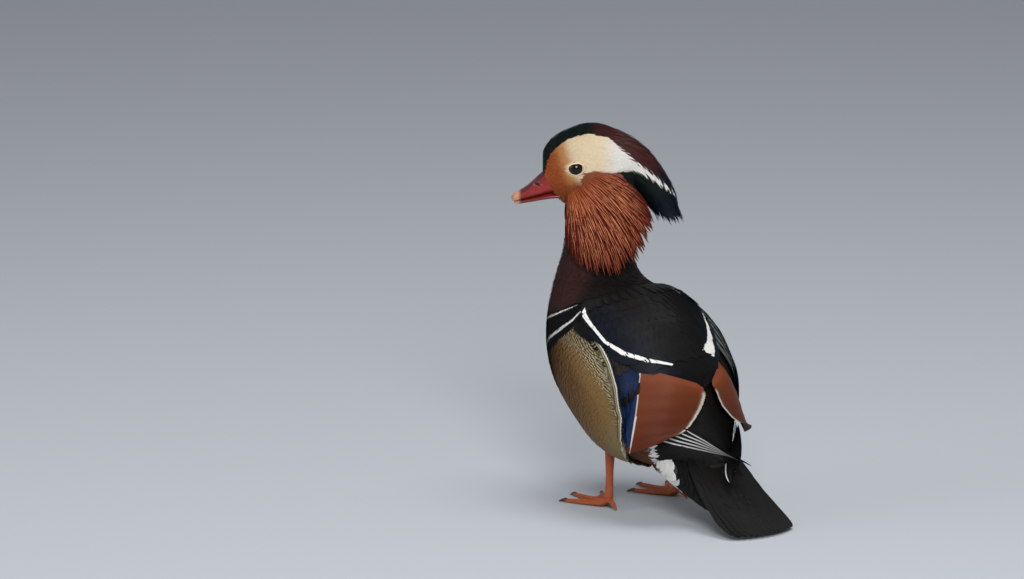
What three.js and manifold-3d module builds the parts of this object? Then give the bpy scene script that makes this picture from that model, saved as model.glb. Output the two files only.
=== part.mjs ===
// A drake mandarin duck, life size. It stands with its head turned to its left, its tail on the floor.
// Bird directions: forward is -Y, left is +X, up is +Z. All sizes are millimetres.
import * as THREE from "three";
import { mergeVertices } from "three/addons/utils/BufferGeometryUtils.js";
import Module from "manifold-3d";

const wasm = await Module();
wasm.setup();

const GAP = 0.3; // between pieces that touch
const CENTRE_FORWARD = -26; // middle of the whole bird's box, from the point between the feet

const at = (forward, left, up) => new THREE.Vector3(left, -forward, up);
const radians = THREE.MathUtils.degToRad;
const mix = THREE.MathUtils.lerp;

// A smooth row of numbers at t, from 0 at the first row to 1 at the last, by Catmull-Rom.
function along(rows, t) {
  const last = rows.length - 1;
  const place = THREE.MathUtils.clamp(t, 0, 1) * last;
  const i = Math.min(Math.floor(place), last - 1);
  const u = place - i;
  return rows[i].map((a, k) => {
    const b = rows[i + 1][k];
    const before = i > 0 ? rows[i - 1][k] : 2 * a - b;
    const after = i + 2 <= last ? rows[i + 2][k] : 2 * b - a;
    const bend = (2 * before - 5 * a + 4 * b - after) * u * u;
    const twist = (3 * a - before - 3 * b + after) * u * u * u;
    return 0.5 * (2 * a + (b - before) * u + bend + twist);
  });
}

// A geometry from points and triangles, turned to face outwards.
function faceted(points, triangles) {
  let volume = 0;
  for (const [a, b, c] of triangles)
    volume += points[a].dot(points[b].clone().cross(points[c]));
  const faces = volume < 0 ? triangles.map(([a, b, c]) => [a, c, b]) : triangles;
  const geometry = new THREE.BufferGeometry().setFromPoints(points);
  return geometry.setIndex(faces.flat());
}

// A closed surface over a row of closed rings, each end fanned to its middle.
function skinOver(rings) {
  const sides = rings[0].length;
  const points = rings.flat();
  const triangles = [];
  for (let i = 0; i + 1 < rings.length; i++)
    for (let j = 0; j < sides; j++) {
      const a = i * sides + j;
      const b = i * sides + ((j + 1) % sides);
      triangles.push([a, b, b + sides], [a, b + sides, a + sides]);
    }
  for (const [ring, first] of [[rings[0], 0], [rings.at(-1), (rings.length - 1) * sides]]) {
    const middle = ring.reduce((sum, p) => sum.add(p), new THREE.Vector3()).divideScalar(sides);
    const hub = points.push(middle) - 1;
    for (let j = 0; j < sides; j++) {
      const a = first + j;
      const b = first + ((j + 1) % sides);
      triangles.push(first ? [a, b, hub] : [b, a, hub]);
    }
  }
  return faceted(points, triangles);
}

// A manifold solid from a three.js geometry.
function solidOf(geometry) {
  const bare = geometry.clone();
  bare.deleteAttribute("normal");
  bare.deleteAttribute("uv");
  const merged = mergeVertices(bare, 1e-4);
  const index = merged.index.array;
  const kept = [];
  for (let i = 0; i < index.length; i += 3) {
    const [a, b, c] = [index[i], index[i + 1], index[i + 2]];
    if (a !== b && b !== c && c !== a) kept.push(a, b, c);
  }
  return new wasm.Manifold(
    new wasm.Mesh({
      numProp: 3,
      vertProperties: new Float32Array(merged.attributes.position.array),
      triVerts: new Uint32Array(kept),
    }),
  );
}

// The three.js geometry of a manifold solid, keeping only its largest closed surface.
function geometryOf(solid) {
  const pieces = solid.decompose().sort((a, b) => b.volume() - a.volume());
  const mesh = pieces[0].getMesh();
  const geometry = new THREE.BufferGeometry();
  const step = mesh.numProp;
  const points = new Float32Array(mesh.numVert * 3);
  for (let i = 0; i < mesh.numVert; i++)
    points.set(mesh.vertProperties.subarray(i * step, i * step + 3), i * 3);
  geometry.setAttribute("position", new THREE.BufferAttribute(points, 3));
  geometry.setIndex(new THREE.BufferAttribute(mesh.triVerts, 1));
  return geometry;
}

const joined = (solids) => solids.reduce((sum, solid) => sum.add(solid));

// A closed solid between two equal grids of points, with the same triangles on both faces.
function between(top, bottom) {
  const rows = top.length;
  const columns = top[0].length;
  const count = rows * columns;
  const triangles = [];
  for (let i = 0; i + 1 < rows; i++)
    for (let j = 0; j + 1 < columns; j++) {
      const a = i * columns + j;
      const [b, c, d] = [a + 1, a + columns + 1, a + columns];
      triangles.push([a, b, c], [a, c, d]);
      triangles.push([a + count, c + count, b + count], [a + count, d + count, c + count]);
    }
  const wall = (b, a) => triangles.push([a, a + count, b + count], [a, b + count, b]);
  for (let i = 0; i + 1 < rows; i++) {
    wall(i * columns, (i + 1) * columns);
    wall((i + 2) * columns - 1, (i + 1) * columns - 1);
  }
  for (let j = 0; j + 1 < columns; j++) {
    wall(j + 1, j);
    wall((rows - 1) * columns + j, (rows - 1) * columns + j + 1);
  }
  return solidOf(faceted([...top.flat(), ...bottom.flat()], triangles));
}

// A thin closed sheet over a grid of points, given half its thickness.
function sheet(grid, half) {
  const rows = grid.length - 1;
  const columns = grid[0].length - 1;
  const faces = [[], []];
  for (let i = 0; i <= rows; i++)
    for (let j = 0; j <= columns; j++) {
      const lengthwise = grid[Math.min(i + 1, rows)][j].clone().sub(grid[Math.max(i - 1, 0)][j]);
      const across = grid[i][Math.min(j + 1, columns)].clone().sub(grid[i][Math.max(j - 1, 0)]);
      const normal = lengthwise.cross(across).normalize();
      faces.forEach((face, k) => {
        if (j === 0) face.push([]);
        face[i].push(grid[i][j].clone().addScaledVector(normal, k ? -half : half));
      });
    }
  return between(...faces);
}

// A grid of points from a function of two numbers from 0 to 1.
const gridOf = (rows, columns, pointAt) =>
  Array.from({ length: rows + 1 }, (_, i) =>
    Array.from({ length: columns + 1 }, (_, j) => pointAt(i / rows, j / columns)),
  );

// A solid over rings of points, from a function of a place along it and an angle round it.
function ringsOf(pointAt, rings, sides, lift = 0) {
  const made = [];
  for (let i = 0; i <= rings; i++) {
    const ring = [];
    for (let j = 0; j < sides; j++) ring.push(pointAt(i / rings, (j / sides) * 2 * Math.PI, lift));
    made.push(ring);
  }
  return solidOf(skinOver(made));
}

// The slope of a surface at a place: its unit normal, pointing the way of rising lift.
function normalOf(pointAt, s, c) {
  return pointAt(s, c, 1).sub(pointAt(s, c, 0)).normalize();
}

const FEATHER = [[0.55], [0.85], [1], [1], [0.8], [0.12]]; // share of the half width from root to tip
const LOCK = [[0.5], [0.85], [1], [0.85], [0.5], [0.06]]; // the same for a pointed lock
const RIDGE = 0.9; // height of a blade's ridge at its root
const TIP_RIDGE = 0.55; // share of it that is left at the tip
const STEPS = 4; // along a blade
const LONG_STEPS = 5; // along a long or bent one
const constant = (value) => () => value;

// One feather or lock: a flat tapered blade with a ridge along its shaft, lying on a guide surface.
// pointAt(s, c, lift) is the surface; the blade runs from s = start to s = end along c = lane(u).
function blade(pointAt, { start, end, lane, width, lift, steps = STEPS, shape = FEATHER }) {
  const middle = Array.from({ length: steps + 1 }, (_, i) => {
    const u = i / steps;
    return pointAt(mix(start, end, u), lane(u), lift(u));
  });
  const rings = middle.map((point, i) => {
    const u = i / steps;
    const way = middle[Math.min(i + 1, steps)].clone().sub(middle[Math.max(i - 1, 0)]).normalize();
    const out = normalOf(pointAt, mix(start, end, u), lane(u));
    const side = way.clone().cross(out).normalize();
    const half = width * along(shape, u)[0];
    const deep = RIDGE * mix(1, TIP_RIDGE, u);
    return [
      point.clone().addScaledVector(side, -half),
      point.clone().addScaledVector(out, deep),
      point.clone().addScaledVector(side, half),
    ];
  });
  return solidOf(skinOver(rings));
}

// Body and neck: one form, lofted along a spine in the bird's middle plane.
const BODY_SIDES = 26;
const BODY_RINGS = 25;
const BODY_SQUARENESS = 2.25; // 2 would be an ellipse
const BODY = [
  // forward, up, slope in degrees, half width, depth above and below the spine
  [-88, 40, 40, 9, 4, 4], // inside the tail's root
  [-72, 47, 42, 19, 10, 12],
  [-53, 54, 45, 35, 23, 27], // rump and vent
  [-35, 62, 46, 49, 38, 42],
  [-20, 75, 46, 57.5, 49.5, 51],
  [-6, 89, 46, 60, 52.5, 54],
  [8, 103, 46, 60.5, 53, 55], // the widest place
  [24, 115, 47, 57.5, 50, 52],
  [39, 128, 52, 51, 45, 45],
  [49, 142, 65, 41, 38, 38],
  [53, 158, 80, 32, 29, 32],
  [53, 175, 89, 26, 25, 26],
  [51, 195, 92, 24.5, 24, 24],
  [49, 216, 90, 24, 24, 23],
  [48, 236, 90, 16, 16, 16], // inside the head
];

function bodyPoint(t, angle, lift = 0) {
  const [forward, up, slope, width, above, below] = along(BODY, t);
  const power = 2 / BODY_SQUARENESS;
  const curve = (value) => Math.sign(value) * Math.abs(value) ** power;
  const side = (width + lift) * curve(Math.sin(angle));
  const rise = ((Math.cos(angle) > 0 ? above : below) + lift) * curve(Math.cos(angle));
  return at(forward - Math.sin(radians(slope)) * rise, side, up + Math.cos(radians(slope)) * rise);
}

const CUT_SIZE = 600; // larger than the bird

// A box that holds everything on one side of a plane across the bird's middle plane, for parting cuts.
function beyond(forward, up, tilt, margin = 0) {
  const box = new THREE.BoxGeometry(CUT_SIZE, CUT_SIZE, CUT_SIZE);
  box.translate(0, 0, CUT_SIZE / 2 + margin);
  box.rotateX(radians(tilt));
  box.translate(0, -forward, up);
  return solidOf(box);
}

// Head: forward is along the bill, in a frame turned to the bird's left.
const HEAD_YAW = radians(50);
const HEAD_FORWARD = 50;
const HEAD_LEFT = 8;
const HEAD_UP = 237;
const HEAD_SIDES = 22;
const HEAD_RINGS = 18;
const HEAD = [
  // along the bill, middle height, half width, height above and below
  [-33, 0, 5, 7, 7],
  [-28, 0, 13, 19, 19],
  [-18, 0, 18, 30, 27],
  [-6, 0, 20, 35, 31],
  [6, 0, 20, 35.2, 30],
  [17, -0.5, 18, 32, 25],
  [26, 0.5, 14.5, 26.5, 19.5],
  [32, 2, 11, 19, 15],
  [35.5, 3, 6.5, 12, 9],
];

const headAt = (p, q, r) =>
  at(
    HEAD_FORWARD + p * Math.cos(HEAD_YAW) - q * Math.sin(HEAD_YAW),
    HEAD_LEFT + p * Math.sin(HEAD_YAW) + q * Math.cos(HEAD_YAW),
    HEAD_UP + r,
  );

function headPoint(t, angle, lift = 0) {
  const [p, middle, width, above, below] = along(HEAD, t);
  const rise = (Math.cos(angle) > 0 ? above : below) + lift;
  return headAt(p, (width + lift) * Math.sin(angle), middle + rise * Math.cos(angle));
}

// Bill: a loft along the head's forward axis, flat below along the line of the mouth.
const BILL_SIDES = 16;
const BILL_RINGS = { upper: 12, lower: 8 };
const BILL_MIDDLE = 0.3; // share of its height, from the mouth, where it is widest
const BILL_ROUNDNESS = 0.8;
const UPPER_BILL = [
  // along the bill, top, mouth line, half width
  [20, 2, -15.5, 9.5],
  [30, 3, -15.4, 9],
  [37, -1.5, -17.2, 8],
  [42.5, -6.8, -18.3, 7.2],
  [47.5, -11, -19.4, 6.7],
  [52, -13.8, -20.5, 6.4],
  [55.5, -15.6, -21.4, 5.4],
  [58, -18, -21.2, 2.6],
];

const LOWER_BILL = [
  // along the bill, mouth line, underside, half width
  [20, -15.8, -19, 7.5],
  [30, -15.8, -19.6, 7.2],
  [40, -18.1, -21.3, 6.4],
  [48, -19.8, -22.6, 5.6],
  [53, -21, -23.3, 4.4],
  [55, -21.7, -23.3, 2.4],
];

function billPoint(rows, t, angle, lift = 0) {
  const [p, top, floor, width] = along(rows, t);
  const middle = mix(floor, top, BILL_MIDDLE);
  const half = Math.cos(angle) > 0 ? top - middle : middle - floor;
  const rise = Math.sign(Math.cos(angle)) * Math.abs(Math.cos(angle)) ** BILL_ROUNDNESS;
  return headAt(p, (width + lift) * Math.sin(angle), middle + (half + lift) * rise);
}

// Eyes: balls set in the sides of the head.
const EYE_RADIUS = 6.2;
const EYE_FACETS = [12, 8];
const EYE_FORWARD = 11.7;
const EYE_UP = 4.9;
const EYE_SIDE = 14.2;

// A tapered tube through points, each with its own radius.
function tube(points, radii, sides) {
  const rings = points.map((point, i) => {
    const next = points[Math.min(i + 1, points.length - 1)];
    const way = next.clone().sub(points[Math.max(i - 1, 0)]).normalize();
    const side = new THREE.Vector3(1, 0, 0);
    if (Math.abs(way.x) > 0.8) side.set(0, 1, 0);
    const first = side.cross(way).normalize();
    const second = way.clone().cross(first);
    return Array.from({ length: sides }, (_, j) => {
      const angle = (j / sides) * 2 * Math.PI;
      const [cos, sin] = [Math.cos(angle), Math.sin(angle)];
      const out = first.clone().multiplyScalar(cos).addScaledVector(second, sin);
      return point.clone().addScaledVector(out, radii[i]);
    });
  });
  return solidOf(skinOver(rings));
}

// Legs: the bare shank, from inside the flank down to the toes.
const FEET = [
  // which foot, forward and left of its ankle, and the way it points
  { side: "left", forward: 5, left: 30, turn: -6 },
  { side: "right", forward: -2, left: -30, turn: -2 },
];
const SHANK = [
  // height, forward of the ankle, radius
  [5, 0.5, 3.4],
  [9, 0, 3.4],
  [14, -0.4, 2.9],
  [26, -0.8, 2.8],
  [36, -1, 3.4],
  [62, -2, 4.6],
];
const TOES = [
  // turn from the foot's own way, length without the claw, radius at its root
  { turn: 27, length: 36, radius: 2.5 },
  { turn: 0, length: 44, radius: 2.7 },
  { turn: -27, length: 40, radius: 2.5 },
];
const TOE = [
  // share of its length, height, share of its root's radius
  [0, 6.5, 1.2],
  [0.18, 3, 1],
  [0.6, 2, 0.8],
  [1, 1.6, 0.55],
];
const CLAW = [
  // beyond the toe's end, height, radius
  [-1.5, 2, 1.3],
  [1.5, 1.6, 0.9],
  [4.5, 0.4, 0.25],
];
const HIND_TOE = [
  // behind the ankle, height, radius
  [0, 6, 2.2],
  [7, 4.5, 1.6],
  [12, 1.6, 0.6],
];
const HIND_TOE_TURN = -8;
const ANKLE_RADIUS = 3.2;
const SIDES_OF = { toe: 6, claw: 5, ankle: 10, shank: 12 };
const WEB_HALF_THICKNESS = 0.55;
const WEB_HEIGHT = 1.5;
const WEB_FROM = 0.12; // shares of the toes' length where the web begins and how far it runs
const WEB_LENGTH = 0.8;
const WEB_HOLLOW = 0.3; // how deep its front edge is scalloped
const WEB_GRID = [3, 3];
const FOOT_TOP = 8; // where foot and shank meet

function footPlace(foot, reach, turn, height) {
  const way = radians(foot.turn + turn);
  return at(foot.forward + reach * Math.cos(way), foot.left + reach * Math.sin(way), height);
}

function footSolid(foot) {
  const pieces = TOES.flatMap(({ length, turn, radius }) => {
    const toe = TOE.map(([share, height]) => footPlace(foot, share * length, turn, height));
    const toeRadii = TOE.map(([, , share]) => share * radius);
    const claw = CLAW.map(([reach, height]) => footPlace(foot, length + reach, turn, height));
    const clawRadii = CLAW.map(([, , size]) => size);
    return [tube(toe, toeRadii, SIDES_OF.toe), tube(claw, clawRadii, SIDES_OF.claw)];
  });
  const hind = HIND_TOE.map(([reach, height]) => footPlace(foot, -reach, HIND_TOE_TURN, height));
  pieces.push(tube(hind, HIND_TOE.map(([, , size]) => size), SIDES_OF.toe));
  const ankle = SHANK.slice(0, 2).map(([height, forward]) => footPlace(foot, forward, 0, height));
  pieces.push(tube(ankle, [ANKLE_RADIUS, ANKLE_RADIUS], SIDES_OF.ankle));
  for (const [first, second] of [[0, 1], [1, 2]]) {
    const [a, b] = [TOES[first], TOES[second]];
    const web = gridOf(...WEB_GRID, (s, c) => {
      const scallop = 1 - WEB_HOLLOW * Math.sin(Math.PI * c) * s;
      const reach = (WEB_FROM + WEB_LENGTH * s * scallop) * mix(a.length, b.length, c);
      return footPlace(foot, reach, mix(a.turn, b.turn, c), WEB_HEIGHT);
    });
    pieces.push(sheet(web, WEB_HALF_THICKNESS));
  }
  const cap = beyond(0, FOOT_TOP, 0);
  return joined(pieces).subtract(cap).intersect(beyond(0, 0, 0));
}

function shankSolid(foot) {
  const points = SHANK.map(([height, forward]) => footPlace(foot, forward, 0, height));
  const radii = SHANK.map(([, , radius]) => radius);
  return tube(points, radii, SIDES_OF.shank).intersect(beyond(0, FOOT_TOP, 0, GAP));
}

// Wings: folded over the back, then the sail (one broad upright feather) and the flight feathers.
const WING = [
  // place along the body, angle from the back's midline at the upper and lower edge, thickness
  [0.64, 0.4, 24, 0.6],
  [0.6, 0.4, 44, 1.2],
  [0.54, 0.4, 58, 1.6],
  [0.47, 0.4, 64, 1.8],
  [0.4, 0.4, 68, 1.8],
  [0.34, 0.4, 72, 1.8],
  [0.28, 0.4, 80, 1.8],
  [0.22, 0.4, 88, 1.5],
  [0.18, 0.6, 88, 1],
];
const SAIL = [
  // forward, left, up of its outer edge, shaft, middle and rim, from its root to its tip
  [-40, 43, 111.5, -44, 41, 112, -59, 23.5, 106.5, -70, 1.5, 98],
  [-39, 47, 98, -46, 45.5, 98, -63, 29, 99, -72, 5, 93],
  [-40, 50.5, 84, -48, 49.5, 84, -64, 34, 84, -72, 11, 82],
  [-41, 53.5, 68, -48, 53, 68, -62, 41, 69, -72, 24, 70],
  [-45, 55.5, 53, -47, 55, 53, -58, 50, 58, -68, 42, 64],
];
const WING_GAP = 1; // under the wing, so that its flat facets clear the body's
const WING_GRID = [11, 6];
const WING_RIM = 0.2; // share of its thickness at its edges
const WING_SWELL = { upper: 8, lower: 6 }; // how fast it thickens from either edge
const SAIL_GRID = [5, 4];
const SAIL_LEAN = { left: 0, right: 10 }; // how far the top of its outer edge leans over the back
const ROOT_LIFT = 1.2; // of the feathers' roots over the body
const STAGGER = 0.5; // how much higher every second feather lies
const SAIL_HALF_THICKNESS = 0.6;
const SCAPULARS = {
  // angle from the back's midline of their outer edge, from the shoulder to the rump
  left: [[50], [57], [60], [56], [45], [25], [6]],
  right: [[42], [46], [40], [28], [22], [18], [6]],
};
const SCAPULAR_FROM = 0.62; // places along the body
const SCAPULAR_TO = 0.285;
const SCAPULAR_WIDTH = { left: 10.3, right: 7.4 }; // half
const SCAPULAR_INSET = 0.03; // radians from the back's midline
const SCAPULAR_CONVERGE = 0.93; // share of its distance from the midline that is left at a tip
const SCAPULAR_TIERS = [
  // where along the region they start and end, how many side by side
  { start: 0.52, end: 1.02, count: 3, lift: 3.6 },
  { start: 0.26, end: 0.76, count: 3, lift: 4 },
  { start: 0.02, end: 0.52, count: 2, lift: 4.4 },
];
const COVERT_LIFT = 3.6; // of their tips
const COVERTS = [
  // place along the body and angle at root and tip, half width
  { root: [0.44, 50], tip: [0.24, 42], width: 8.5 },
  { root: [0.43, 64], tip: [0.25, 60], width: 8.5 },
];
const FLIGHT = [
  // forward, left and up, half width, roll in degrees
  [-38, 50, 74, 10, 0],
  [-55, 38, 66, 10, 5],
  [-75, 18, 57.5, 7.5, 35],
  [-93, -1, 50, 5, 60],
  [-106, -11, 42, 1, 65],
];
const FLIGHT_UP = [-0.23, -0.27, 0.915]; // across the folded feathers where they stand upright
const FLIGHT_OUT = [-0.55, 0.8, 0.1]; // across them where they lie flat
const FLIGHT_FEATHERS = 5;
const FLIGHT_SPREAD = 0.85;
const FLIGHT_WIDTH = 3; // half
const FLIGHT_SHORTER = 0.045; // by which each ends before the next
const FLIGHT_STACK = 0.8; // how much higher each lies than the next
const FLIGHT_DROP = { left: -1.2, right: 9.5 }; // the right wing's feathers pass under the left's

const mirror = (sign, forward, left, up) => at(forward, sign * left, up);

function wingCore(sign) {
  const point = (v, w, lift) => {
    const [t, upper, lower, thickness] = along(WING, v);
    const { upper: inner, lower: outer } = WING_SWELL;
    const rim = Math.min(1, inner * w + WING_RIM, outer * (1 - w) + WING_RIM);
    const angle = sign * radians(mix(upper, lower, w));
    return bodyPoint(t, angle, WING_GAP + lift * thickness * rim);
  };
  return between(
    gridOf(...WING_GRID, (v, w) => point(v, w, 1)),
    gridOf(...WING_GRID, (v, w) => point(v, w, 0)),
  );
}

function sailSolid(side, sign) {
  const grid = gridOf(...SAIL_GRID, (s, c) => {
    const p = along(SAIL, s);
    const [f, l, u] = [0, 1, 2].map((k) => along([[p[k]], [p[3 + k]], [p[6 + k]], [p[9 + k]]], c)[0]);
    return mirror(sign, f, l - SAIL_LEAN[side] * (1 - s) * (1 - c), u);
  });
  return sheet(grid, SAIL_HALF_THICKNESS);
}

function scapularSolids(side, sign) {
  const pointAt = (s, c, lift) => {
    const edge = radians(along(SCAPULARS[side], s)[0]);
    return bodyPoint(mix(SCAPULAR_FROM, SCAPULAR_TO, s), sign * (SCAPULAR_INSET + c * edge), lift);
  };
  return SCAPULAR_TIERS.flatMap(({ start, end, count, lift }) =>
    Array.from({ length: count }, (_, i) => {
      const c = (i + 0.62) / count;
      const shorter = 0.1 * Math.abs(c - 0.5);
      return blade(pointAt, {
        start,
        end: end - shorter,
        lane: (u) => c * mix(1, SCAPULAR_CONVERGE, u),
        width: SCAPULAR_WIDTH[side],
        lift: (u) => mix(ROOT_LIFT, lift, u) + STAGGER * (i % 2),
      });
    }),
  );
}

function covertSolids(sign) {
  return COVERTS.map(({ root, tip, width }, i) => {
    const pointAt = (s, c, lift) => bodyPoint(mix(root[0], tip[0], s), sign * radians(c), lift);
    return blade(pointAt, {
      start: 0,
      end: 1,
      lane: (u) => mix(root[1], tip[1], u),
      width,
      lift: (u) => mix(ROOT_LIFT, COVERT_LIFT, u) + STAGGER * (i % 2),
    });
  });
}

function flightSolids(sign, drop) {
  const pointAt = (s, c, lift) => {
    const row = along(FLIGHT, s);
    const [width, roll] = [row[3], radians(row[4])];
    const [cos, sin] = [Math.cos(roll), Math.sin(roll)];
    const [f, l, u] = [0, 1, 2].map((k) => {
      const across = c * width * (cos * FLIGHT_UP[k] + sin * FLIGHT_OUT[k]);
      const out = lift * (cos * FLIGHT_OUT[k] - sin * FLIGHT_UP[k]);
      return row[k] + across + out;
    });
    return mirror(sign, f, l, u - drop * s);
  };
  return Array.from({ length: FLIGHT_FEATHERS }, (_, i) => {
    const c = mix(-FLIGHT_SPREAD, FLIGHT_SPREAD, i / (FLIGHT_FEATHERS - 1));
    return blade(pointAt, {
      start: 0,
      end: 1 - FLIGHT_SHORTER * (FLIGHT_FEATHERS - 1 - i),
      lane: constant(c),
      width: FLIGHT_WIDTH,
      lift: (u) => (i - 2) * FLIGHT_STACK * Math.min(1, 2.5 * u),
      steps: LONG_STEPS,
    });
  });
}

// Tail: a flat fan that droops to the floor, with full coverts under its root.
const TAIL = [
  // forward, up, half width, half thickness, droop of its sides
  [-64, 54, 19, 8, 3],
  [-78, 41, 23, 6, 4],
  [-93, 28.5, 26, 4, 5],
  [-108, 18, 28, 2.6, 5],
  [-123, 8, 29.5, 1.6, 4],
  [-134, 2.4, 30, 1, 2],
  [-142, 0.4, 26, 0.8, 0.4],
];
const VENT = [
  // the soft form under its root: forward, up, half width, half depth
  [-28, 50, 24, 14],
  [-46, 43, 29, 18],
  [-63, 35.5, 28.5, 16.5],
  [-79, 27, 27, 12.5],
  [-94, 19, 24, 7.5],
  [-106, 14, 18, 3],
];
const VENT_SLOPE = radians(40);
const VENT_GRID = [6, 12];
const TAIL_CORE_END = 0.6;
const TAIL_CORE_GRID = [5, 8];
const TAIL_CORE_WIDTH = 0.85; // share of the fan's
const TAIL_CORE_TAPER = 0.55; // share of its thickness lost at its end
const TAIL_CORE_ROUNDNESS = 0.9;
const TAIL_FEATHERS = 9;
const TAIL_FEATHER_WIDTH = 6; // half
const TAIL_SPREAD = 0.92;
const TAIL_GATHER = 0.75; // how far their roots lie apart, as a share of their tips
const TAIL_FROM = 0.08;
const TAIL_TO = { edge: 0.95, middle: 1.01 };
const TAIL_ARCH = { middle: 2, edge: -1.6 }; // lift of the feathers' tips
const TAIL_COVERTS = [
  // end along the tail, how many, reach across, lift over its middle at root and tip
  { end: 0.5, count: 3, spread: 0.6, lift: [4.6, 3.6], width: 9 },
  { end: 0.66, count: 3, spread: 0.5, lift: [-5, -2.4], width: 9 },
];
const SLOPE_STEP = 0.05; // over which the fan's slope is read

function tailPoint(s, c, lift) {
  const [f, u, width, , droop] = along(TAIL, s);
  const [f1, u1] = along(TAIL, s + SLOPE_STEP);
  const slope = Math.atan2(u1 - u, f1 - f);
  const [out, back] = [-Math.cos(slope), Math.sin(slope)];
  return at(f + lift * back, c * width, Math.max(0, u - droop * c * c + lift * out));
}

function ventPoint(t, angle) {
  const [f, u, width, depth] = along(VENT, t);
  const rise = depth * Math.cos(angle);
  const [back, up] = [Math.sin(VENT_SLOPE) * rise, Math.cos(VENT_SLOPE) * rise];
  return at(f - back, width * Math.sin(angle), u + up);
}

function tailSolid() {
  const core = (way) =>
    gridOf(...TAIL_CORE_GRID, (s, c) => {
      const across = 2 * c - 1;
      const place = TAIL_CORE_END * s;
      const round = Math.sqrt(1 - TAIL_CORE_ROUNDNESS * across * across);
      const depth = along(TAIL, place)[3] * (1 - TAIL_CORE_TAPER * s) * round;
      return tailPoint(place, TAIL_CORE_WIDTH * across, way * depth);
    });
  const pieces = [between(core(1), core(-1)), ringsOf(ventPoint, ...VENT_GRID)];
  for (let i = 0; i < TAIL_FEATHERS; i++) {
    const c = mix(-TAIL_SPREAD, TAIL_SPREAD, i / (TAIL_FEATHERS - 1));
    const inner = 1 - Math.abs(c);
    pieces.push(
      blade(tailPoint, {
        start: TAIL_FROM,
        end: mix(TAIL_TO.edge, TAIL_TO.middle, inner),
        lane: (u) => c * mix(TAIL_GATHER, 1, u),
        width: TAIL_FEATHER_WIDTH,
        lift: (u) => mix(0, mix(TAIL_ARCH.edge, TAIL_ARCH.middle, inner), u) + 0.2 * Math.sign(c),
        steps: LONG_STEPS,
      }),
    );
  }
  for (const { end, count, spread, lift, width } of TAIL_COVERTS)
    for (let i = 0; i < count; i++) {
      const c = mix(-spread, spread, i / (count - 1));
      pieces.push(
        blade(tailPoint, {
          start: TAIL_FROM,
          end: end - 0.1 * Math.abs(c),
          lane: constant(c),
          width,
          lift: (u) => mix(...lift, u) + STAGGER * (i % 2),
        }),
      );
    }
  const laid = (piece) =>
    piece.warp((point) => {
      point[2] = Math.max(0, point[2]);
    });
  return joined(pieces.map(laid));
}

// Crest: long narrow feathers from the crown back to a ragged tip, in tiers over a short core.
const CREST = [
  // along the bill, up, slope in degrees, half height, half width
  [6, 14, 0, 21, 14],
  [-13, 13, -18, 18.5, 15],
  [-28, 6, -34, 16, 13],
  [-38, -3, -44, 14, 10.5],
  [-46, -13, -54, 12.5, 8],
  [-52, -22.5, -64, 11.5, 5.5],
  [-57, -33.5, -73, 10, 3],
];
const CREST_CORE_END = 0.45;
const CREST_CORE_INSET = { root: -1.5, tip: -4.5 };
const CREST_CORE_GRID = [5, 12];
const CREST_ROOT_LIFT = -1.8;
const CREST_STAGGER = 0.7;
const CREST_RAGGED = 0.03; // by which the tips differ
const CREST_WIDTH = 6; // half
const CREST_CONVERGE = 0.97;
const CREST_TIERS = [
  // start and end along the crest, how many feathers, how far down each side in degrees
  { start: 0.42, end: 0.98, count: 6, round: 135, lift: -1.6 },
  { start: 0.2, end: 0.8, count: 5, round: 105, lift: -0.6 },
  { start: 0.02, end: 0.55, count: 3, round: 45, lift: 0.4 },
];

function crestPoint(s, c, lift) {
  const [p, r, slope, height, width] = along(CREST, s);
  const angle = radians(c);
  const rise = (height + lift) * Math.cos(angle);
  const way = radians(slope);
  return headAt(p + rise * Math.sin(way), (width + lift) * Math.sin(angle), r + rise * Math.cos(way));
}

function crestSolids() {
  const { root: near, tip: far } = CREST_CORE_INSET;
  const corePoint = (t, angle) =>
    crestPoint(t * CREST_CORE_END, THREE.MathUtils.radToDeg(angle), mix(near, far, t));
  const core = ringsOf(corePoint, ...CREST_CORE_GRID);
  const feathers = CREST_TIERS.flatMap(({ start, end, count, round, lift }) =>
    Array.from({ length: count }, (_, i) => {
      const c = mix(-round, round, i / (count - 1));
      return blade(crestPoint, {
        start,
        end: end + CREST_RAGGED * ((i * 2) % 3),
        lane: (u) => c * mix(1, CREST_CONVERGE, u),
        width: CREST_WIDTH,
        lift: (u) => lift + mix(CREST_ROOT_LIFT, 0, u) + CREST_STAGGER * (i % 2),
        shape: LOCK,
      });
    }),
  );
  return [core, ...feathers];
}

// Ruff: a fan of flat pointed locks on each cheek, in three tiers, over the neck.
const RUFF = [
  // up, middle along the bill, half length, half width of the form that it lies on
  [8, -5, 24, 17],
  [-6, -8, 28, 20.5],
  [-20, -11, 33, 26],
  [-34, -12, 36, 29],
  [-48, -12, 34, 31],
  [-62, -12, 28, 31.5],
  [-76, -12, 20, 31],
];
const RUFF_FROM = [10.8, -5.8]; // where its locks fan out from: along the bill, up
// How far it reaches, from its front round to its back.
const RUFF_REACH = [[42], [56], [64], [69], [71], [69], [64], [56.5], [48]];
const RUFF_FRONT = -80; // direction of its first and last lock, in degrees
const RUFF_BACK = -172;
const RUFF_SPREAD = [0.02, 0.98];
const RUFF_ROOT_LIFT = -5;
const RUFF_RISE = 3.2; // how fast a lock comes out to its own lift
const RUFF_STAGGER = 0.6;
const RUFF_RAGGED = 0.05;
const RUFF_TIERS = [
  { start: 0.32, end: 1, count: 7, lift: -0.2, width: 6.4 },
  { start: 0.2, end: 0.74, count: 6, lift: 1.3, width: 5.4 },
  { start: 0.12, end: 0.48, count: 3, lift: 2.6, width: 5 },
];
const RUFF_SHIFT = -3; // how far the neck under it stands to the head's right

const NECK_FROM = 0.6; // where along the body the neck's search starts
const HALVINGS = 20;

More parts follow.
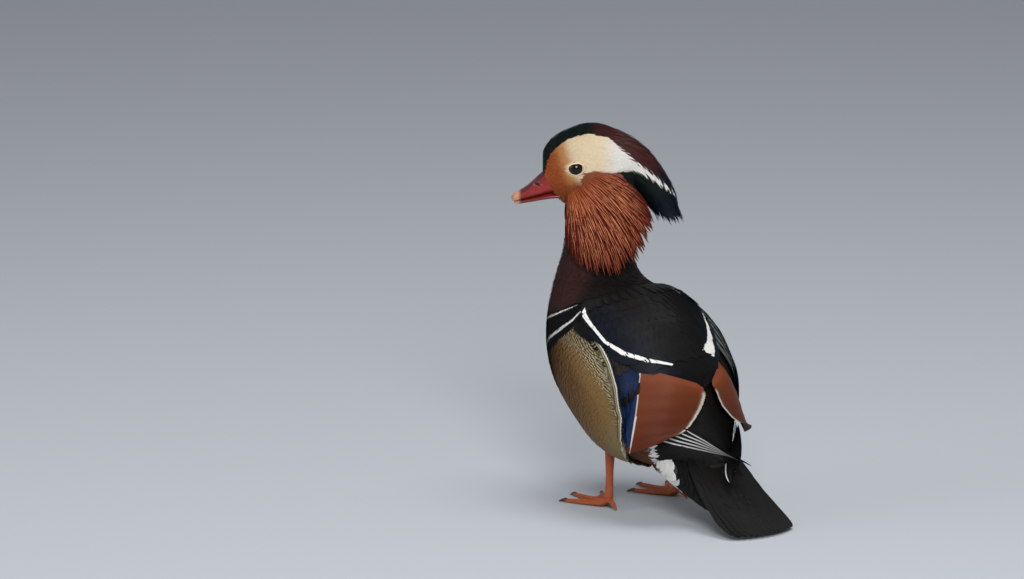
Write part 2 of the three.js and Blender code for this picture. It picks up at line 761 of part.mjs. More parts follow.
// The neck's middle, half width and depths at a height.
function neckAt(height) {
  let [low, high] = [NECK_FROM, 1];
  for (let i = 0; i < HALVINGS; i++) {
    const t = (low + high) / 2;
    if (along(BODY, t)[1] < height) low = t;
    else high = t;
  }
  return along(BODY, low);
}

const CLEARANCE = 1.6; // of the ruff over the neck
const NECK_MARGIN = 1.03;

// Moves a point out from the neck's axis until it is clear of the neck's skin.
function clearOfNeck(point, clearance) {
  const [forward, , , width, above, below] = neckAt(point.z);
  const [x, y] = [point.x, point.y + forward];
  const depth = (y > 0 ? above : below) + clearance;
  const reach = Math.hypot(x / (width + clearance), y / depth);
  if (reach > NECK_MARGIN || point.z > HEAD_UP) return point;
  const grow = NECK_MARGIN / reach;
  return new THREE.Vector3(x * grow, y * grow - forward, point.z);
}

function ruffPoint(side) {
  return (s, c, lift) => {
    const way = radians(mix(RUFF_FRONT, RUFF_BACK, c));
    const reach = along(RUFF_REACH, c)[0] * s;
    const p = RUFF_FROM[0] + reach * Math.cos(way);
    const r = RUFF_FROM[1] + reach * Math.sin(way);
    const t = (RUFF[0][0] - r) / (RUFF[0][0] - RUFF.at(-1)[0]);
    const [, middle, length, width] = along(RUFF, t);
    const x = Math.min(Math.abs((p - middle) / length), 0.97);
    const q = RUFF_SHIFT * t + side * (width * (1 - x ** 3) ** (1 / 2.4) + lift);
    return clearOfNeck(headAt(p, q, r), CLEARANCE + Math.max(0, lift));
  };
}

function ruffSolids() {
  const pieces = [];
  for (const side of [1, -1])
    for (const { start, end, count, lift, width } of RUFF_TIERS)
      for (let i = 0; i < count; i++) {
        const c = mix(...RUFF_SPREAD, i / (count - 1));
        const outer = lift + RUFF_STAGGER * (i % 2);
        pieces.push(
          blade(ruffPoint(side), {
            start,
            end: end - RUFF_RAGGED * (i % 2),
            lane: constant(c),
            width,
            lift: (u) => mix(RUFF_ROOT_LIFT, outer, Math.min(1, RUFF_RISE * u)),
            shape: LOCK,
          }),
        );
      }
  return pieces;
}

const RUFF_CORE_END = 0.5;
const RUFF_CORE_INSET = { top: 1.5, foot: 4.5, ends: 4 };
const RUFF_CORE_GRID = [4, 12];

// The form under the ruff: cheeks and throat, at most half as long as the locks.
function ruffCore() {
  const pointAt = (t, angle) => {
    const place = RUFF_CORE_END * t;
    const [r, p, length, width] = along(RUFF, place);
    const inset = mix(RUFF_CORE_INSET.top, RUFF_CORE_INSET.foot, t);
    const q = RUFF_SHIFT * place + (width - inset) * Math.sin(angle);
    return headAt(p + (length - inset - RUFF_CORE_INSET.ends) * Math.cos(angle), q, r);
  };
  return ringsOf(pointAt, ...RUFF_CORE_GRID);
}

// Lids: two bowed bands that close round the eye and run out into the cheek.
const LID_OPENING = [4.9, 3.5]; // half length and half height
const LID_FOOT = [7.8, 6.2];
const LID_ARC = { upper: -5, lower: 175, length: 190 }; // degrees round the eye; the two overlap
const LID_GAP = 0.35; // over the eye's ball
const LID_FOOT_OUT = 3.2; // how far out its foot lies from the eye's middle
const LID_THICKNESS = { edge: 0.9, foot: -1.4 };
const LID_GRID = [6, 1];

function lidSolid(sign, from) {
  const bare = EYE_RADIUS + LID_GAP;
  const place = (s, c, out) => {
    const angle = radians(from + LID_ARC.length * s);
    const [a, b] = [0, 1].map((k) => mix(LID_OPENING[k], LID_FOOT[k], c));
    const [p, r] = [a * Math.cos(angle), b * Math.sin(angle)];
    const inner = Math.sqrt(Math.max(0, bare * bare - p * p - r * r));
    const q = EYE_SIDE + mix(inner, LID_FOOT_OUT, c) + out;
    return headAt(EYE_FORWARD + p, sign * q, EYE_UP + r);
  };
  return between(
    gridOf(...LID_GRID, (s, c) => place(s, c, LID_THICKNESS.edge)),
    gridOf(...LID_GRID, (s, c) => place(s, c, c * LID_THICKNESS.foot)),
  );
}

// Nostrils: short slots in the upper bill's sides.
const NOSTRIL = { along: 39, up: -8.6, side: 7.4, length: 1.9, height: 1, depth: 2, slope: 28 };
const NOSTRIL_FACETS = [8, 6];

function nostrilSolid(sign) {
  const hole = new THREE.SphereGeometry(1, ...NOSTRIL_FACETS);
  hole.scale(NOSTRIL.length, NOSTRIL.depth, NOSTRIL.height);
  hole.rotateY(radians(NOSTRIL.slope));
  hole.rotateZ(HEAD_YAW - Math.PI / 2);
  hole.translate(...headAt(NOSTRIL.along, sign * NOSTRIL.side, NOSTRIL.up));
  return solidOf(hole);
}

const root = new THREE.Group();
root.position.set(0, CENTRE_FORWARD, 0);

const finish = (color, roughness) => new THREE.MeshStandardMaterial({ color, roughness });
const COLOURS = {
  maroon: finish("#3a1c1c", 0.7),
  buff: finish("#a87b3c", 0.7),
  dark: finish("#15171c", 0.6),
  chestnut: finish("#a4492a", 0.7),
  bill: finish("#b3212e", 0.35),
  leg: finish("#d2561f", 0.5),
  eye: finish("#0b0705", 0.08),
};

function add(name, solid, material) {
  const mesh = new THREE.Mesh(geometryOf(solid), material);
  mesh.name = name;
  root.add(mesh);
}

const NECK_CUT = [36, 150, 40]; // forward, up and tilt of the plane where the neck meets the torso
const HEAD_CUT = [49, 207, 4];
const TAIL_CUT = [-66, 52, 42];
const SIDES = [
  ["left", 1],
  ["right", -1],
];

const whole = ringsOf(bodyPoint, BODY_RINGS, BODY_SIDES);
const wholeGrown = ringsOf(bodyPoint, BODY_RINGS, BODY_SIDES, GAP);
const aboveHead = beyond(...HEAD_CUT);
const aheadOfTail = beyond(...TAIL_CUT);

for (const foot of FEET) {
  add(`foot_${foot.side}`, footSolid(foot), COLOURS.leg);
  add(`leg_${foot.side}`, shankSolid(foot).subtract(wholeGrown), COLOURS.leg);
}

add("torso", whole.subtract(beyond(...NECK_CUT, -GAP)).intersect(aheadOfTail), COLOURS.buff);
add("neck", whole.intersect(beyond(...NECK_CUT)).subtract(beyond(...HEAD_CUT, -GAP)), COLOURS.maroon);
add("tail", tailSolid().subtract(wholeGrown.intersect(beyond(...TAIL_CUT, -GAP))), COLOURS.dark);

for (const [side, sign] of SIDES) {
  const wing = joined([
    wingCore(sign),
    sailSolid(side, sign),
    ...scapularSolids(side, sign),
    ...covertSolids(sign),
    ...flightSolids(sign, FLIGHT_DROP[side]),
  ]);
  add(`wing_${side}`, wing.subtract(wholeGrown), COLOURS.dark);
}

const upperBillPoint = (t, angle, lift) => billPoint(UPPER_BILL, t, angle, lift);
const lowerBillPoint = (t, angle, lift) => billPoint(LOWER_BILL, t, angle, lift);
const upperBill = ringsOf(upperBillPoint, BILL_RINGS.upper, BILL_SIDES);
const upperBillGrown = ringsOf(upperBillPoint, BILL_RINGS.upper, BILL_SIDES, GAP);
const lowerBill = ringsOf(lowerBillPoint, BILL_RINGS.lower, BILL_SIDES);
const lowerBillGrown = ringsOf(lowerBillPoint, BILL_RINGS.lower, BILL_SIDES, GAP);
let head = joined([ringsOf(headPoint, HEAD_RINGS, HEAD_SIDES), whole.intersect(aboveHead)]);
head = head.intersect(aboveHead);
head = joined([head, ...crestSolids(), ruffCore(), ...ruffSolids()]);
head = head.subtract(wholeGrown.subtract(aboveHead)).subtract(upperBillGrown).subtract(lowerBillGrown);
for (const [side, sign] of SIDES) {
  const centre = headAt(EYE_FORWARD, sign * EYE_SIDE, EYE_UP);
  const ball = new THREE.SphereGeometry(EYE_RADIUS, ...EYE_FACETS).translate(...centre);
  const socket = new THREE.SphereGeometry(EYE_RADIUS + GAP, ...EYE_FACETS).translate(...centre);
  const lids = [lidSolid(sign, LID_ARC.upper), lidSolid(sign, LID_ARC.lower)];
  head = joined([head, ...lids]).subtract(solidOf(socket));
  add(`eye_${side}`, solidOf(ball), COLOURS.eye);
}
add("head", head, COLOURS.chestnut);
add("bill_upper", upperBill.subtract(nostrilSolid(1)).subtract(nostrilSolid(-1)), COLOURS.bill);
add("bill_lower", lowerBill.subtract(upperBillGrown), COLOURS.bill);

export default root;
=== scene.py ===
# A drake mandarin duck, life size, as a museum model: it stands with its head turned to its left.
# Surfaces are given in millimetres from the bird's own forward, left and up, and built in metres.
import math
from functools import partial

import bpy
import numpy as np
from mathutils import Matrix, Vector
from mathutils.kdtree import KDTree


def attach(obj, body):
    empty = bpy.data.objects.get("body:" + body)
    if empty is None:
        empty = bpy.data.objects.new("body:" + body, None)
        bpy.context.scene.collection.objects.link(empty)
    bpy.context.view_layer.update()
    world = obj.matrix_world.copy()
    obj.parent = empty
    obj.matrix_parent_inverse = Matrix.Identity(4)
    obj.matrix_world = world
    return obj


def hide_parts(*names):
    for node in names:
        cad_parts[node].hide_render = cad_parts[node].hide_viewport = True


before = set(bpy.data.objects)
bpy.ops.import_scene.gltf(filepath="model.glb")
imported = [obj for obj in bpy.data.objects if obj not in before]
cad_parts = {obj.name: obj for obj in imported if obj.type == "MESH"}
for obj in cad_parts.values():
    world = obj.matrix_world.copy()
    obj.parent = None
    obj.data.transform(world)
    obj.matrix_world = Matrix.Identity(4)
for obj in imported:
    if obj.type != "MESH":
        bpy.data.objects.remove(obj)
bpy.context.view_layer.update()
rng = np.random.default_rng(11)


# Skin of body and neck: bare skin under the coat, drawn in one form from the tail's root to the head.
# It is a loft along the bird's spine, and lies inside the outer form by the depth of the coat.
MIDDLE = -26  # the middle of the whole bird, forward of the point between the feet
SQUARENESS = 2.25  # of the body's cross-section, where 2 is an ellipse
COAT_DEPTH = 2.2
BODY = [
    # forward, up, slope in degrees, half width, depth above and below the spine
    (-88, 40, 40, 9, 4, 4),
    (-72, 47, 42, 19, 10, 12),
    (-53, 54, 45, 35, 23, 27),
    (-35, 62, 46, 49, 38, 42),
    (-20, 75, 46, 57.5, 49.5, 51),
    (-6, 89, 46, 60, 52.5, 54),
    (8, 103, 46, 60.5, 53, 55),
    (24, 115, 47, 57.5, 50, 52),
    (39, 128, 52, 51, 45, 45),
    (49, 142, 65, 41, 38, 38),
    (53, 158, 80, 32, 29, 32),
    (53, 175, 89, 26, 25, 26),
    (51, 195, 92, 24.5, 24, 24),
    (49, 216, 90, 24, 24, 23),
    (48, 236, 90, 16, 16, 16),
]


def along(rows, t):
    """The columns of a table, read at places t from 0 to 1 on a smooth curve through its rows."""
    rows = np.array(rows, float).reshape(len(rows), -1)
    rows = np.vstack([2 * rows[0] - rows[1], rows, 2 * rows[-1] - rows[-2]])
    last = len(rows) - 3
    place = np.clip(np.asarray(t, float), 0, 1) * last
    i = np.minimum(place.astype(int), last - 1)
    u = (place - i)[..., None]
    before, a, b, after = rows[i], rows[i + 1], rows[i + 2], rows[i + 3]
    bend = (2 * before - 5 * a + 4 * b - after) * u * u
    twist = (3 * a - before - 3 * b + after) * u**3
    return np.moveaxis(0.5 * (2 * a + (b - before) * u + bend + twist), -1, 0)


def at(forward, left, up):
    """Points in metres in the model's frame, from the bird's forward, left and up in millimetres."""
    forward, left, up = np.broadcast_arrays(forward, left, up)
    return np.stack([left, MIDDLE - forward, up], -1) / 1000


def body_point(t, angle, lift=0.0):
    """The body's outer form: t from tail to head, angle in degrees from the back towards the left."""
    forward, up, slope, width, above, below = along(BODY, t)
    angle, slope = np.radians(angle), np.radians(slope)
    side, rise = (np.sign(x) * np.abs(x) ** (2 / SQUARENESS) for x in (np.sin(angle), np.cos(angle)))
    rise = (np.where(rise > 0, above, below) + lift) * rise
    return at(forward - np.sin(slope) * rise, (width + lift) * side, up + np.cos(slope) * rise)


def linear(hex_colour):
    """A colour of a shader's socket, from its sRGB hex value."""
    parts = [int(hex_colour[i : i + 2], 16) / 255 for i in (1, 3, 5)]
    return [x / 12.92 if x <= 0.04045 else ((x + 0.055) / 1.055) ** 2.4 for x in parts] + [1]


def node(tree, kind, inputs=None, **settings):
    """Adds a node with its settings; inputs maps a socket to a value, or to what feeds it."""
    new = tree.nodes.new("ShaderNode" + kind)
    for name, value in settings.items():
        setattr(new, name, value)
    for socket, value in (inputs or {}).items():
        if isinstance(value, bpy.types.Node):
            value = value.outputs[0]
        if isinstance(value, bpy.types.NodeSocket):
            tree.links.new(value, new.inputs[socket])
        else:
            new.inputs[socket].default_value = value
    return new


def material(name, finish):
    """An empty node material; finish(tree) returns the shader that covers the piece."""
    made = bpy.data.materials.new(name)
    made.use_nodes = True
    tree = made.node_tree
    tree.nodes.clear()
    output = node(tree, "OutputMaterial")
    tree.links.new(finish(tree).outputs[0], output.inputs["Surface"])
    return made


def mesh_piece(name, points, faces, finish, slot, layers=None, colours=None):
    """A smooth piece of the model from points and faces of four corners, riding on the body."""
    points = np.asarray(points, float).reshape(-1, 3)
    faces = np.asarray(faces, int)
    mesh = bpy.data.meshes.new(name)
    mesh.vertices.add(len(points))
    mesh.vertices.foreach_set("co", points.ravel())
    mesh.loops.add(faces.size)
    mesh.loops.foreach_set("vertex_index", faces.ravel())
    mesh.polygons.add(len(faces))
    mesh.polygons.foreach_set("loop_start", np.arange(len(faces)) * faces.shape[1])
    mesh.polygons.foreach_set("use_smooth", np.full(len(faces), True))
    for layer, places in (layers or {}).items():
        mesh.uv_layers.new(name=layer).data.foreach_set("uv", places.reshape(-1, 2)[faces.ravel()].ravel())
    if colours is not None:
        plumage = mesh.color_attributes.new("Plumage", "FLOAT_COLOR", "POINT")
        plumage.data.foreach_set("color", colours.reshape(-1, 4).astype(np.float32).ravel())
    mesh.update()
    mesh.validate()
    mesh.materials.append(finish)
    piece = bpy.data.objects.new(name, mesh)
    bpy.context.collection.objects.link(piece)
    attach(piece, "root")
    return piece


def ring_grid(start, end, rows, columns):
    """Places on rings from start to end, and angles all the way round."""
    angles = np.linspace(-180, 180, columns, endpoint=False)
    return np.meshgrid(np.linspace(start, end, rows), angles, indexing="ij")


def grid_faces(rows, columns, around=False):
    """Four-sided faces over rows of points, each row closed into a ring if around."""
    i, j = np.meshgrid(np.arange(rows - 1), np.arange(columns if around else columns - 1), indexing="ij")
    after = (j + 1) % columns
    corners = [i * columns + j, i * columns + after, (i + 1) * columns + after, (i + 1) * columns + j]
    return np.stack(corners, -1).reshape(-1, 4)


def close_ends(piece):
    """Fills the open ends of a piece made of rings, and turns its faces outwards."""
    for other in bpy.context.selected_objects:
        other.select_set(False)
    bpy.context.view_layer.objects.active = piece
    piece.select_set(True)
    bpy.ops.object.mode_set(mode="EDIT")
    bpy.ops.mesh.select_mode(type="EDGE")
    bpy.ops.mesh.select_all(action="DESELECT")
    bpy.ops.mesh.select_non_manifold()
    bpy.ops.mesh.fill_holes(sides=0)
    bpy.ops.mesh.select_all(action="SELECT")
    bpy.ops.mesh.normals_make_consistent(inside=False)
    bpy.ops.object.mode_set(mode="OBJECT")


# Markings of the body: every feather and the skin under it take their colour from this one function.
# The drake's maroon breast, the white bars at the shoulder, golden flanks and white belly.
MAROON, MANTLE, BLACK, WHITE = "#38201d", "#1b1614", "#0c0c0e", "#e9e7e2"
FLANK_TOP, FLANK_GOLD, FLANK_RUST = "#857c60", "#7a5d36", "#5a381b"
WING_BROWN, VENT_BROWN, RUMP = "#1d1712", "#5a3722", "#12110f"
VENT_WHITE = (16.8, 26.9)  # where the white under the tail begins and ends, as measured by aslant
# The white bars at the shoulder: places along the body at angles from the back, and half widths in mm.
FRONT_BAR = ((57, 78, 104, 128, 134), (0.614, 0.619, 0.629, 0.632, 0.633), (0.15, 0.8, 1.1, 0.8, 0.1))
REAR_BAR = ((52, 60, 71, 86, 104, 124, 131), (0.593, 0.577, 0.564, 0.566, 0.574, 0.572, 0.57),
            (0.15, 0.8, 1.1, 1.4, 1.4, 0.8, 0.1))
FLANK_FRONT = ((60, 62.3, 68, 73.9, 88, 103, 140), (0.505, 0.511, 0.527, 0.534, 0.536, 0.534, 0.54))
FLANK_REAR = (
    (0.15, 0.185, 0.203, 0.248, 0.313, 0.376, 0.421, 0.464, 0.511, 0.53),
    (150, 127, 97, 75, 63, 58, 57, 58, 62.3, 66),
)
FLANK_BOTTOM = 143
BLACK_TAIL = ((73, 95, 154), (0.165, 0.133, 0.122))  # angles, and where the black of the tail begins


def mixed(a, b, share):
    """Colours between a and b."""
    share = np.clip(share, 0, 1)[..., None]
    return (1 - share) * np.asarray(a) + share * np.asarray(b)


def between(x, low, high):
    """0 below low and 1 above high, with a soft step between them."""
    x = np.clip((x - low) / (high - low), 0, 1)
    return x * x * (3 - 2 * x)


def aslant(points):
    """How many millimetres back and up places lie, less how far out, as the patches of the vent run."""
    left, y, up = np.moveaxis(1000 * np.asarray(points), -1, 0)
    return 0.582 * (y - MIDDLE) - 0.817 * np.abs(left) + 0.372 * up


def body_colour(t, angle):
    """Colour of the coat of body and neck."""
    t, angle = np.broadcast_arrays(t, angle)
    a = np.abs(angle)
    colour = mixed(linear(MAROON), linear(MANTLE), between(78 - a - 160 * (t - 0.62), 0, 28))
    below_breast = t < np.interp(a, *FRONT_BAR[:2]) + 0.009
    black_zone = below_breast & (a > 50) & (a < 134)
    colour = np.where(black_zone[..., None], linear(BLACK), colour)
    back = (t < 0.585) & (a < 58)
    colour = np.where(back[..., None], linear(RUMP), colour)
    belly = (a >= 134) & (t < 0.6)
    belly_colour = mixed(linear(MAROON), linear(WHITE), between(0.6 - t, 0, 0.03))
    colour = np.where(belly[..., None], belly_colour, colour)
    rear_edge = np.interp(t, *FLANK_REAR)
    flank = (t < np.interp(a, *FLANK_FRONT)) & (a > rear_edge) & (a < FLANK_BOTTOM) & (t > 0.15)
    down = between(a - 0.35 * rear_edge, 30, 85)
    gold = mixed(linear(FLANK_TOP), linear(FLANK_GOLD), between(down, 0, 0.45))
    gold = mixed(gold, linear(FLANK_RUST), between(down, 0.55, 1) * between(t, 0.2, 0.45) * 0.8)
    gold = mixed(gold, linear(FLANK_TOP), between(0.30 - t, 0, 0.12) * 0.55)
    colour = np.where(flank[..., None], gold, colour)
    behind = (t < 0.54) & (a <= rear_edge) & (a > 40)
    colour = np.where(behind[..., None], linear(WING_BROWN), colour)
    place = aslant(body_point(t, angle))
    vent = ((t < 0.2) & (a > 73) & ~flank) | ((t < 0.3) & (a >= 134) & (place > 5))
    soft_white = mixed(linear(VENT_BROWN), linear(WHITE), between(place, VENT_WHITE[0], VENT_WHITE[0] + 2))
    soft_white = mixed(soft_white, linear(RUMP), between(place, VENT_WHITE[1], VENT_WHITE[1] + 2))
    colour = np.where(vent[..., None], soft_white, colour)
    upper_tail = ((t < 0.2) & (a <= 73)) | (t < np.interp(a, *BLACK_TAIL))
    colour = np.where(upper_tail[..., None], linear(RUMP), colour)
    return np.array(colour)


# Skin of the head: a narrow skull, high at the crown, turned a little over a quarter to the left.
# The eyes are set in it, and the coat on it is the shortest of the whole bird.
HEAD_YAW = math.radians(50)
HEAD_PLACE = (50, 8, 237)  # forward, left and up of the head's middle
HEAD_COAT = 1.3
HEAD = [
    # along the bill, middle height, half width, height above and below
    (-33, 0, 5, 7, 7),
    (-28, 0, 13, 19, 19),
    (-18, 0, 18, 30, 27),
    (-6, 0, 20, 35, 31),
    (6, 0, 20, 35.2, 30),
    (17, -0.5, 18, 32, 25),
    (26, 0.5, 14.5, 26.5, 19.5),
    (32, 2, 11, 19, 15),
    (35.5, 3, 6.5, 12, 9),
]
GREEN_BLACK, CREST_MAROON, BLUE_BLACK, LOWER_GREEN = "#0e1a17", "#3f1c1a", "#10151f", "#0b1714"
LORE, BUFF, CREAM, STRIPE_WHITE, CHESTNUT = "#a9562a", "#cc935c", "#ead7b4", "#e4e1da", "#8a3f20"
EYE_PLACE = (11.7, 4.9, 14.2)  # along the bill, up, to the side
EYE_RADIUS = 6.2
CROWN_LINE = (
    # where dark crown meets pale face: along the bill, up
    (-63.4, -53, -42.8, -30.5, -22, -15, -9.9, 1.4, 8.6, 16.9, 23, 29.2, 32.3, 34, 36),
    (-17.6, -8.3, -0.1, 9.2, 17.6, 24.5, 27.6, 29.8, 28.8, 26, 21.8, 15.8, 8, 0, -6),
)
CHEEK_LINE = (
    # where the pale stripe behind the eye meets the chestnut cheek and the green lower crest
    (-63.4, -48, -37.7, -32.5, -12, -2, 5, 7.5),
    (-17.6, -7.8, -1.1, 2.5, 2.5, 4, 2.2, -2),
)
GREEN_LINE = ((-33, -23.8, -15.5, -9.4, 0.9, 3), (-42.8, -38.7, -33.5, -27.4, -21, -14))  # up, along


def head_at(p, q, r):
    """Points from the head's own directions: p along the bill, q to the left, r up."""
    forward = HEAD_PLACE[0] + p * math.cos(HEAD_YAW) - q * math.sin(HEAD_YAW)
    left = HEAD_PLACE[1] + p * math.sin(HEAD_YAW) + q * math.cos(HEAD_YAW)
    return at(forward, left, HEAD_PLACE[2] + r)


def head_place(t, angle, lift=0.0):
    """The head's outer form in its own directions: t from the nape to the bill."""
    p, middle, width, above, below = along(HEAD, t)
    angle = np.radians(angle)
    rise = np.where(np.cos(angle) > 0, above, below) + lift
    return p, (width + lift) * np.sin(angle), middle + rise * np.cos(angle)


def head_point(t, angle, lift=0.0):
    return head_at(*head_place(t, angle, lift))


def head_colour(p, r):
    """Colour of the coat of the head at a place seen from its side."""
    p, r = np.broadcast_arrays(p, r)
    lore = between(p - 0.35 * r, 4, 27)
    face = mixed(linear(CREAM), linear(BUFF), between(lore, 0, 0.5))
    face = mixed(face, linear(LORE), between(lore, 0.45, 1))
    face = mixed(face, linear(STRIPE_WHITE), between(-p, 4, 20))
    low = between(-r - 0.2 * p, -1.5, 7) * between(31 - p, 0, 22)
    low = np.maximum(low, between(np.interp(p, *CHEEK_LINE) - r, -0.8, 0.8) * (p < 7.5))
    face = mixed(face, linear(CHESTNUT), low * 0.95)
    ring = np.hypot((p - EYE_PLACE[0]) / 7.2, (r - EYE_PLACE[1]) / 5.6)
    face = mixed(face, linear(CREAM), between(1.15 - ring, 0, 0.3))
    tail_of_ring = (np.abs(r - 3.4 + 0.06 * p) < 1.1) & (p < 8) & (p > 1)
    face = np.where(tail_of_ring[..., None], linear(CREAM), face)
    green = (r < np.interp(p, *CHEEK_LINE)) & (p < np.interp(r, *GREEN_LINE))
    face = np.where(green[..., None], linear(LOWER_GREEN), face)
    crown = mixed(linear(GREEN_BLACK), linear(CREST_MAROON), between(4 - p, 0, 12))
    colour = np.where((r > np.interp(p, *CROWN_LINE))[..., None], crown, face)
    colour = np.array(colour)
    colour[..., 3] = 0
    return colour


BODY_GRID = (150, 120)
HEAD_GRID = (70, 96)
SKIN_PAINTED_SHADE = 0.8  # its colours, as a share of the coat's: painted shade, for the skin lies in the shade of the feathers
body_t, body_a = ring_grid(0.02, 0.97, *BODY_GRID)
head_t, head_a = ring_grid(0, 1, *HEAD_GRID)
body_skin = body_point(body_t, body_a, -COAT_DEPTH).reshape(-1, 3)
skin_points = np.concatenate([body_skin, head_point(head_t, head_a, -HEAD_COAT).reshape(-1, 3)])
# The unwrap of the skin: the body on the left of the sheet, the head on its right.
body_chart = np.stack([0.03 + 0.57 * (body_a + 180) / 360, 0.03 + 0.94 * body_t], -1).reshape(-1, 2)
head_chart = np.stack([0.64 + 0.33 * (head_a + 180) / 360, 0.03 + 0.94 * head_t], -1).reshape(-1, 2)
skin_chart = np.concatenate([body_chart, head_chart])
head_p, _, head_r = head_place(head_t, head_a, -HEAD_COAT)
skin_colours = np.concatenate([
    body_colour(body_t, body_a).reshape(-1, 4), head_colour(head_p, head_r).reshape(-1, 4)
])
# painted shade: the skin is darker than the coat over it
skin_colours[:, :3] *= SKIN_PAINTED_SHADE
skin_faces = np.concatenate([grid_faces(*BODY_GRID, True), grid_faces(*HEAD_GRID, True) + body_t.size])

tree_of_skin = KDTree(len(skin_points))
for index, point in enumerate(skin_points):
    tree_of_skin.insert(point, index)
tree_of_skin.balance()


def bare_skin(tree):
    # Skin in the shade of the feathers: it takes their colour, a little darker, and has no gloss.
    colour = node(tree, "VertexColor", layer_name="Plumage")
    return node(tree, "BsdfPrincipled", {"Base Color": colour, "Roughness": 0.85})


skin = mesh_piece(
    "skin", skin_points, skin_faces, material("skin_under_feathers", bare_skin), "flank_feathers",
    {"OFBake": skin_chart}, skin_colours,
)
close_ends(skin)
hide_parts("torso", "neck", "head")


# Coat of neck and breast: short contour feathers, each a thin cupped vane lying back over the next.
# They are set in rings round the body, as feather tracts grow, every second ring shifted half a step.
ROUND_VANE = ((0, 0.5), (0.35, 0.95), (0.65, 1), (0.88, 0.68), (1, 0.16))
NECK_STEP = 2.7  # millimetres between roots
BREAST_LENGTH, BREAST_HALF = 9.5, 3.0
RING_SAMPLES = 73


def scatter(shape):
    """Random numbers from -1 to 1."""
    return rng.uniform(-1, 1, shape)


def rings_of_roots(surface, start, end, step, low=-180.0, high=180.0, jitter=0.3, row_step=None):
    """Root places over a surface, in rings, evenly spread about `step` millimetres apart."""
    ring_angles = np.linspace(low, high, RING_SAMPLES)
    places = []
    s, odd = start, 0
    direction = 1 if end > start else -1
    while (end - s) * direction > 0:
        ring = surface(np.full(RING_SAMPLES, s), ring_angles, 0.0)
        length = 1000 * np.linalg.norm(np.diff(ring, axis=0), axis=1)
        count = max(3, int(length.sum() / step))
        share = (np.arange(count) + 0.5 * odd + jitter * scatter(count)) / count
        travelled = np.concatenate([[0], np.cumsum(length)]) / length.sum()
        c = np.interp(share % 1, travelled, ring_angles)
        beside = surface(np.full(count, s + 1e-3), c, 0.0) - surface(np.full(count, s), c, 0.0)
        speed = 1e6 * np.linalg.norm(beside, axis=1).mean()
        places.append(np.stack([s + jitter * (row_step or step) / speed * scatter(count), c]))
        s += direction * (row_step or step) / speed
        odd = 1 - odd
    return np.concatenate(places, axis=1)


def vanes(surface, s, c, length, width, low, high, shape=ROUND_VANE, turn=0.0, way=-1, cup=0.15, columns=2):
    """Points of thin vanes, feather by row by column, lying on a surface from their roots (s, c).

    length and width (half) are in millimetres; low and high are the lifts of root and tip; turn is
    the angle in degrees from the way of the coat, and cup is how far the edges bend down.
    """
    s, c, length, width, low, high, turn = np.broadcast_arrays(s, c, length, width, low, high, turn)
    u, share = (np.array(x, float) for x in zip(*shape))
    small = 1e-3
    inner = np.clip(s, small, 1 - small)
    step_s = surface(inner + small, c, low) - surface(inner - small, c, low)
    step_c = surface(s, c + small, low) - surface(s, c - small, low)
    step_s, step_c = (np.linalg.norm(step, axis=-1) / (2 * small) for step in (step_s, step_c))
    # where a surface narrows to a point, a step on it counts as no less than this
    step_s = np.maximum(step_s, 0.5 * np.median(step_s))
    step_c = np.maximum(step_c, 0.4 * np.median(step_c))
    run_s = way * length / 1000 * np.cos(np.radians(turn)) / step_s
    run_c = length / 1000 * np.sin(np.radians(turn)) / step_c
    rows_s, rows_c = s[:, None] + run_s[:, None] * u, c[:, None] + run_c[:, None] * u
    lifts = low[:, None] + (high - low)[:, None] * u**0.8
    middle = surface(rows_s, rows_c, lifts)
    out = surface(rows_s, rows_c, lifts + 0.5) - middle
    onward = np.gradient(middle, axis=1)
    side = np.cross(onward, out)
    side /= np.maximum(np.linalg.norm(side, axis=-1, keepdims=True), 1e-12)
    out /= np.maximum(np.linalg.norm(out, axis=-1, keepdims=True), 1e-12)
    v = np.linspace(-1, 1, columns + 1)
    half = (width[:, None] * share / 1000)[..., None]
    points = middle[:, :, None] + side[:, :, None] * (v * half)[..., None]
    points -= out[:, :, None] * (cup * half * v * v)[..., None]
    return points, rows_s, rows_c, u, v


def root_chart(points):
    """Where roots lie on the skin's unwrap."""
    return np.array([skin_chart[tree_of_skin.find(point)[1]] for point in points])


def plumage_piece(name, parts, finish, slot):
    """One joined mesh of vanes; parts is a list of (points, u, v, colours)."""
    all_points, all_faces, all_colours, bake, vane = [], [], [], [], []
    count = 0
    for points, u, v, colours in parts:
        feathers, rows, columns = points.shape[:3]
        cells = grid_faces(rows, columns)
        offsets = count + np.arange(feathers) * rows * columns
        all_faces.append((cells[None] + offsets[:, None, None]).reshape(-1, 4))
        count += feathers * rows * columns
        all_points.append(points.reshape(-1, 3))
        all_colours.append(np.broadcast_to(colours, (feathers, rows, columns, 4)).reshape(-1, 4))
        places = np.stack(np.broadcast_arrays(v[None] / 2 + 0.5, u[:, None]), -1)
        vane.append(np.broadcast_to(places, (feathers, rows, columns, 2)).reshape(-1, 2))
        roots = root_chart(points[:, 0].mean(1))
        bake.append((roots[:, None, None] + 0.003 * (places - 0.5)).reshape(-1, 2))
    layers = {"OFBake": np.concatenate(bake), "Vane": np.concatenate(vane)}
    return mesh_piece(
        name, np.concatenate(all_points), np.concatenate(all_faces), finish, slot, layers,
        np.concatenate(all_colours),
    )


def varied(colours, feathers, amount):
    """Colours, or one colour, with a small change of brightness from feather to feather."""
    colours = np.array(colours, float)
    if colours.ndim == 1:
        colours = colours.reshape(1, 1, 1, 4)
    colours = np.array(np.broadcast_to(colours, (feathers,) + colours.shape[1:]))
    colours[..., :3] *= 1 + amount * scatter((feathers,) + (1,) * (colours.ndim - 1))
    return colours


TURN = 2 * math.pi
BARB_SLANT = 0.8
BARB_HEIGHT = 0.0002  # metres


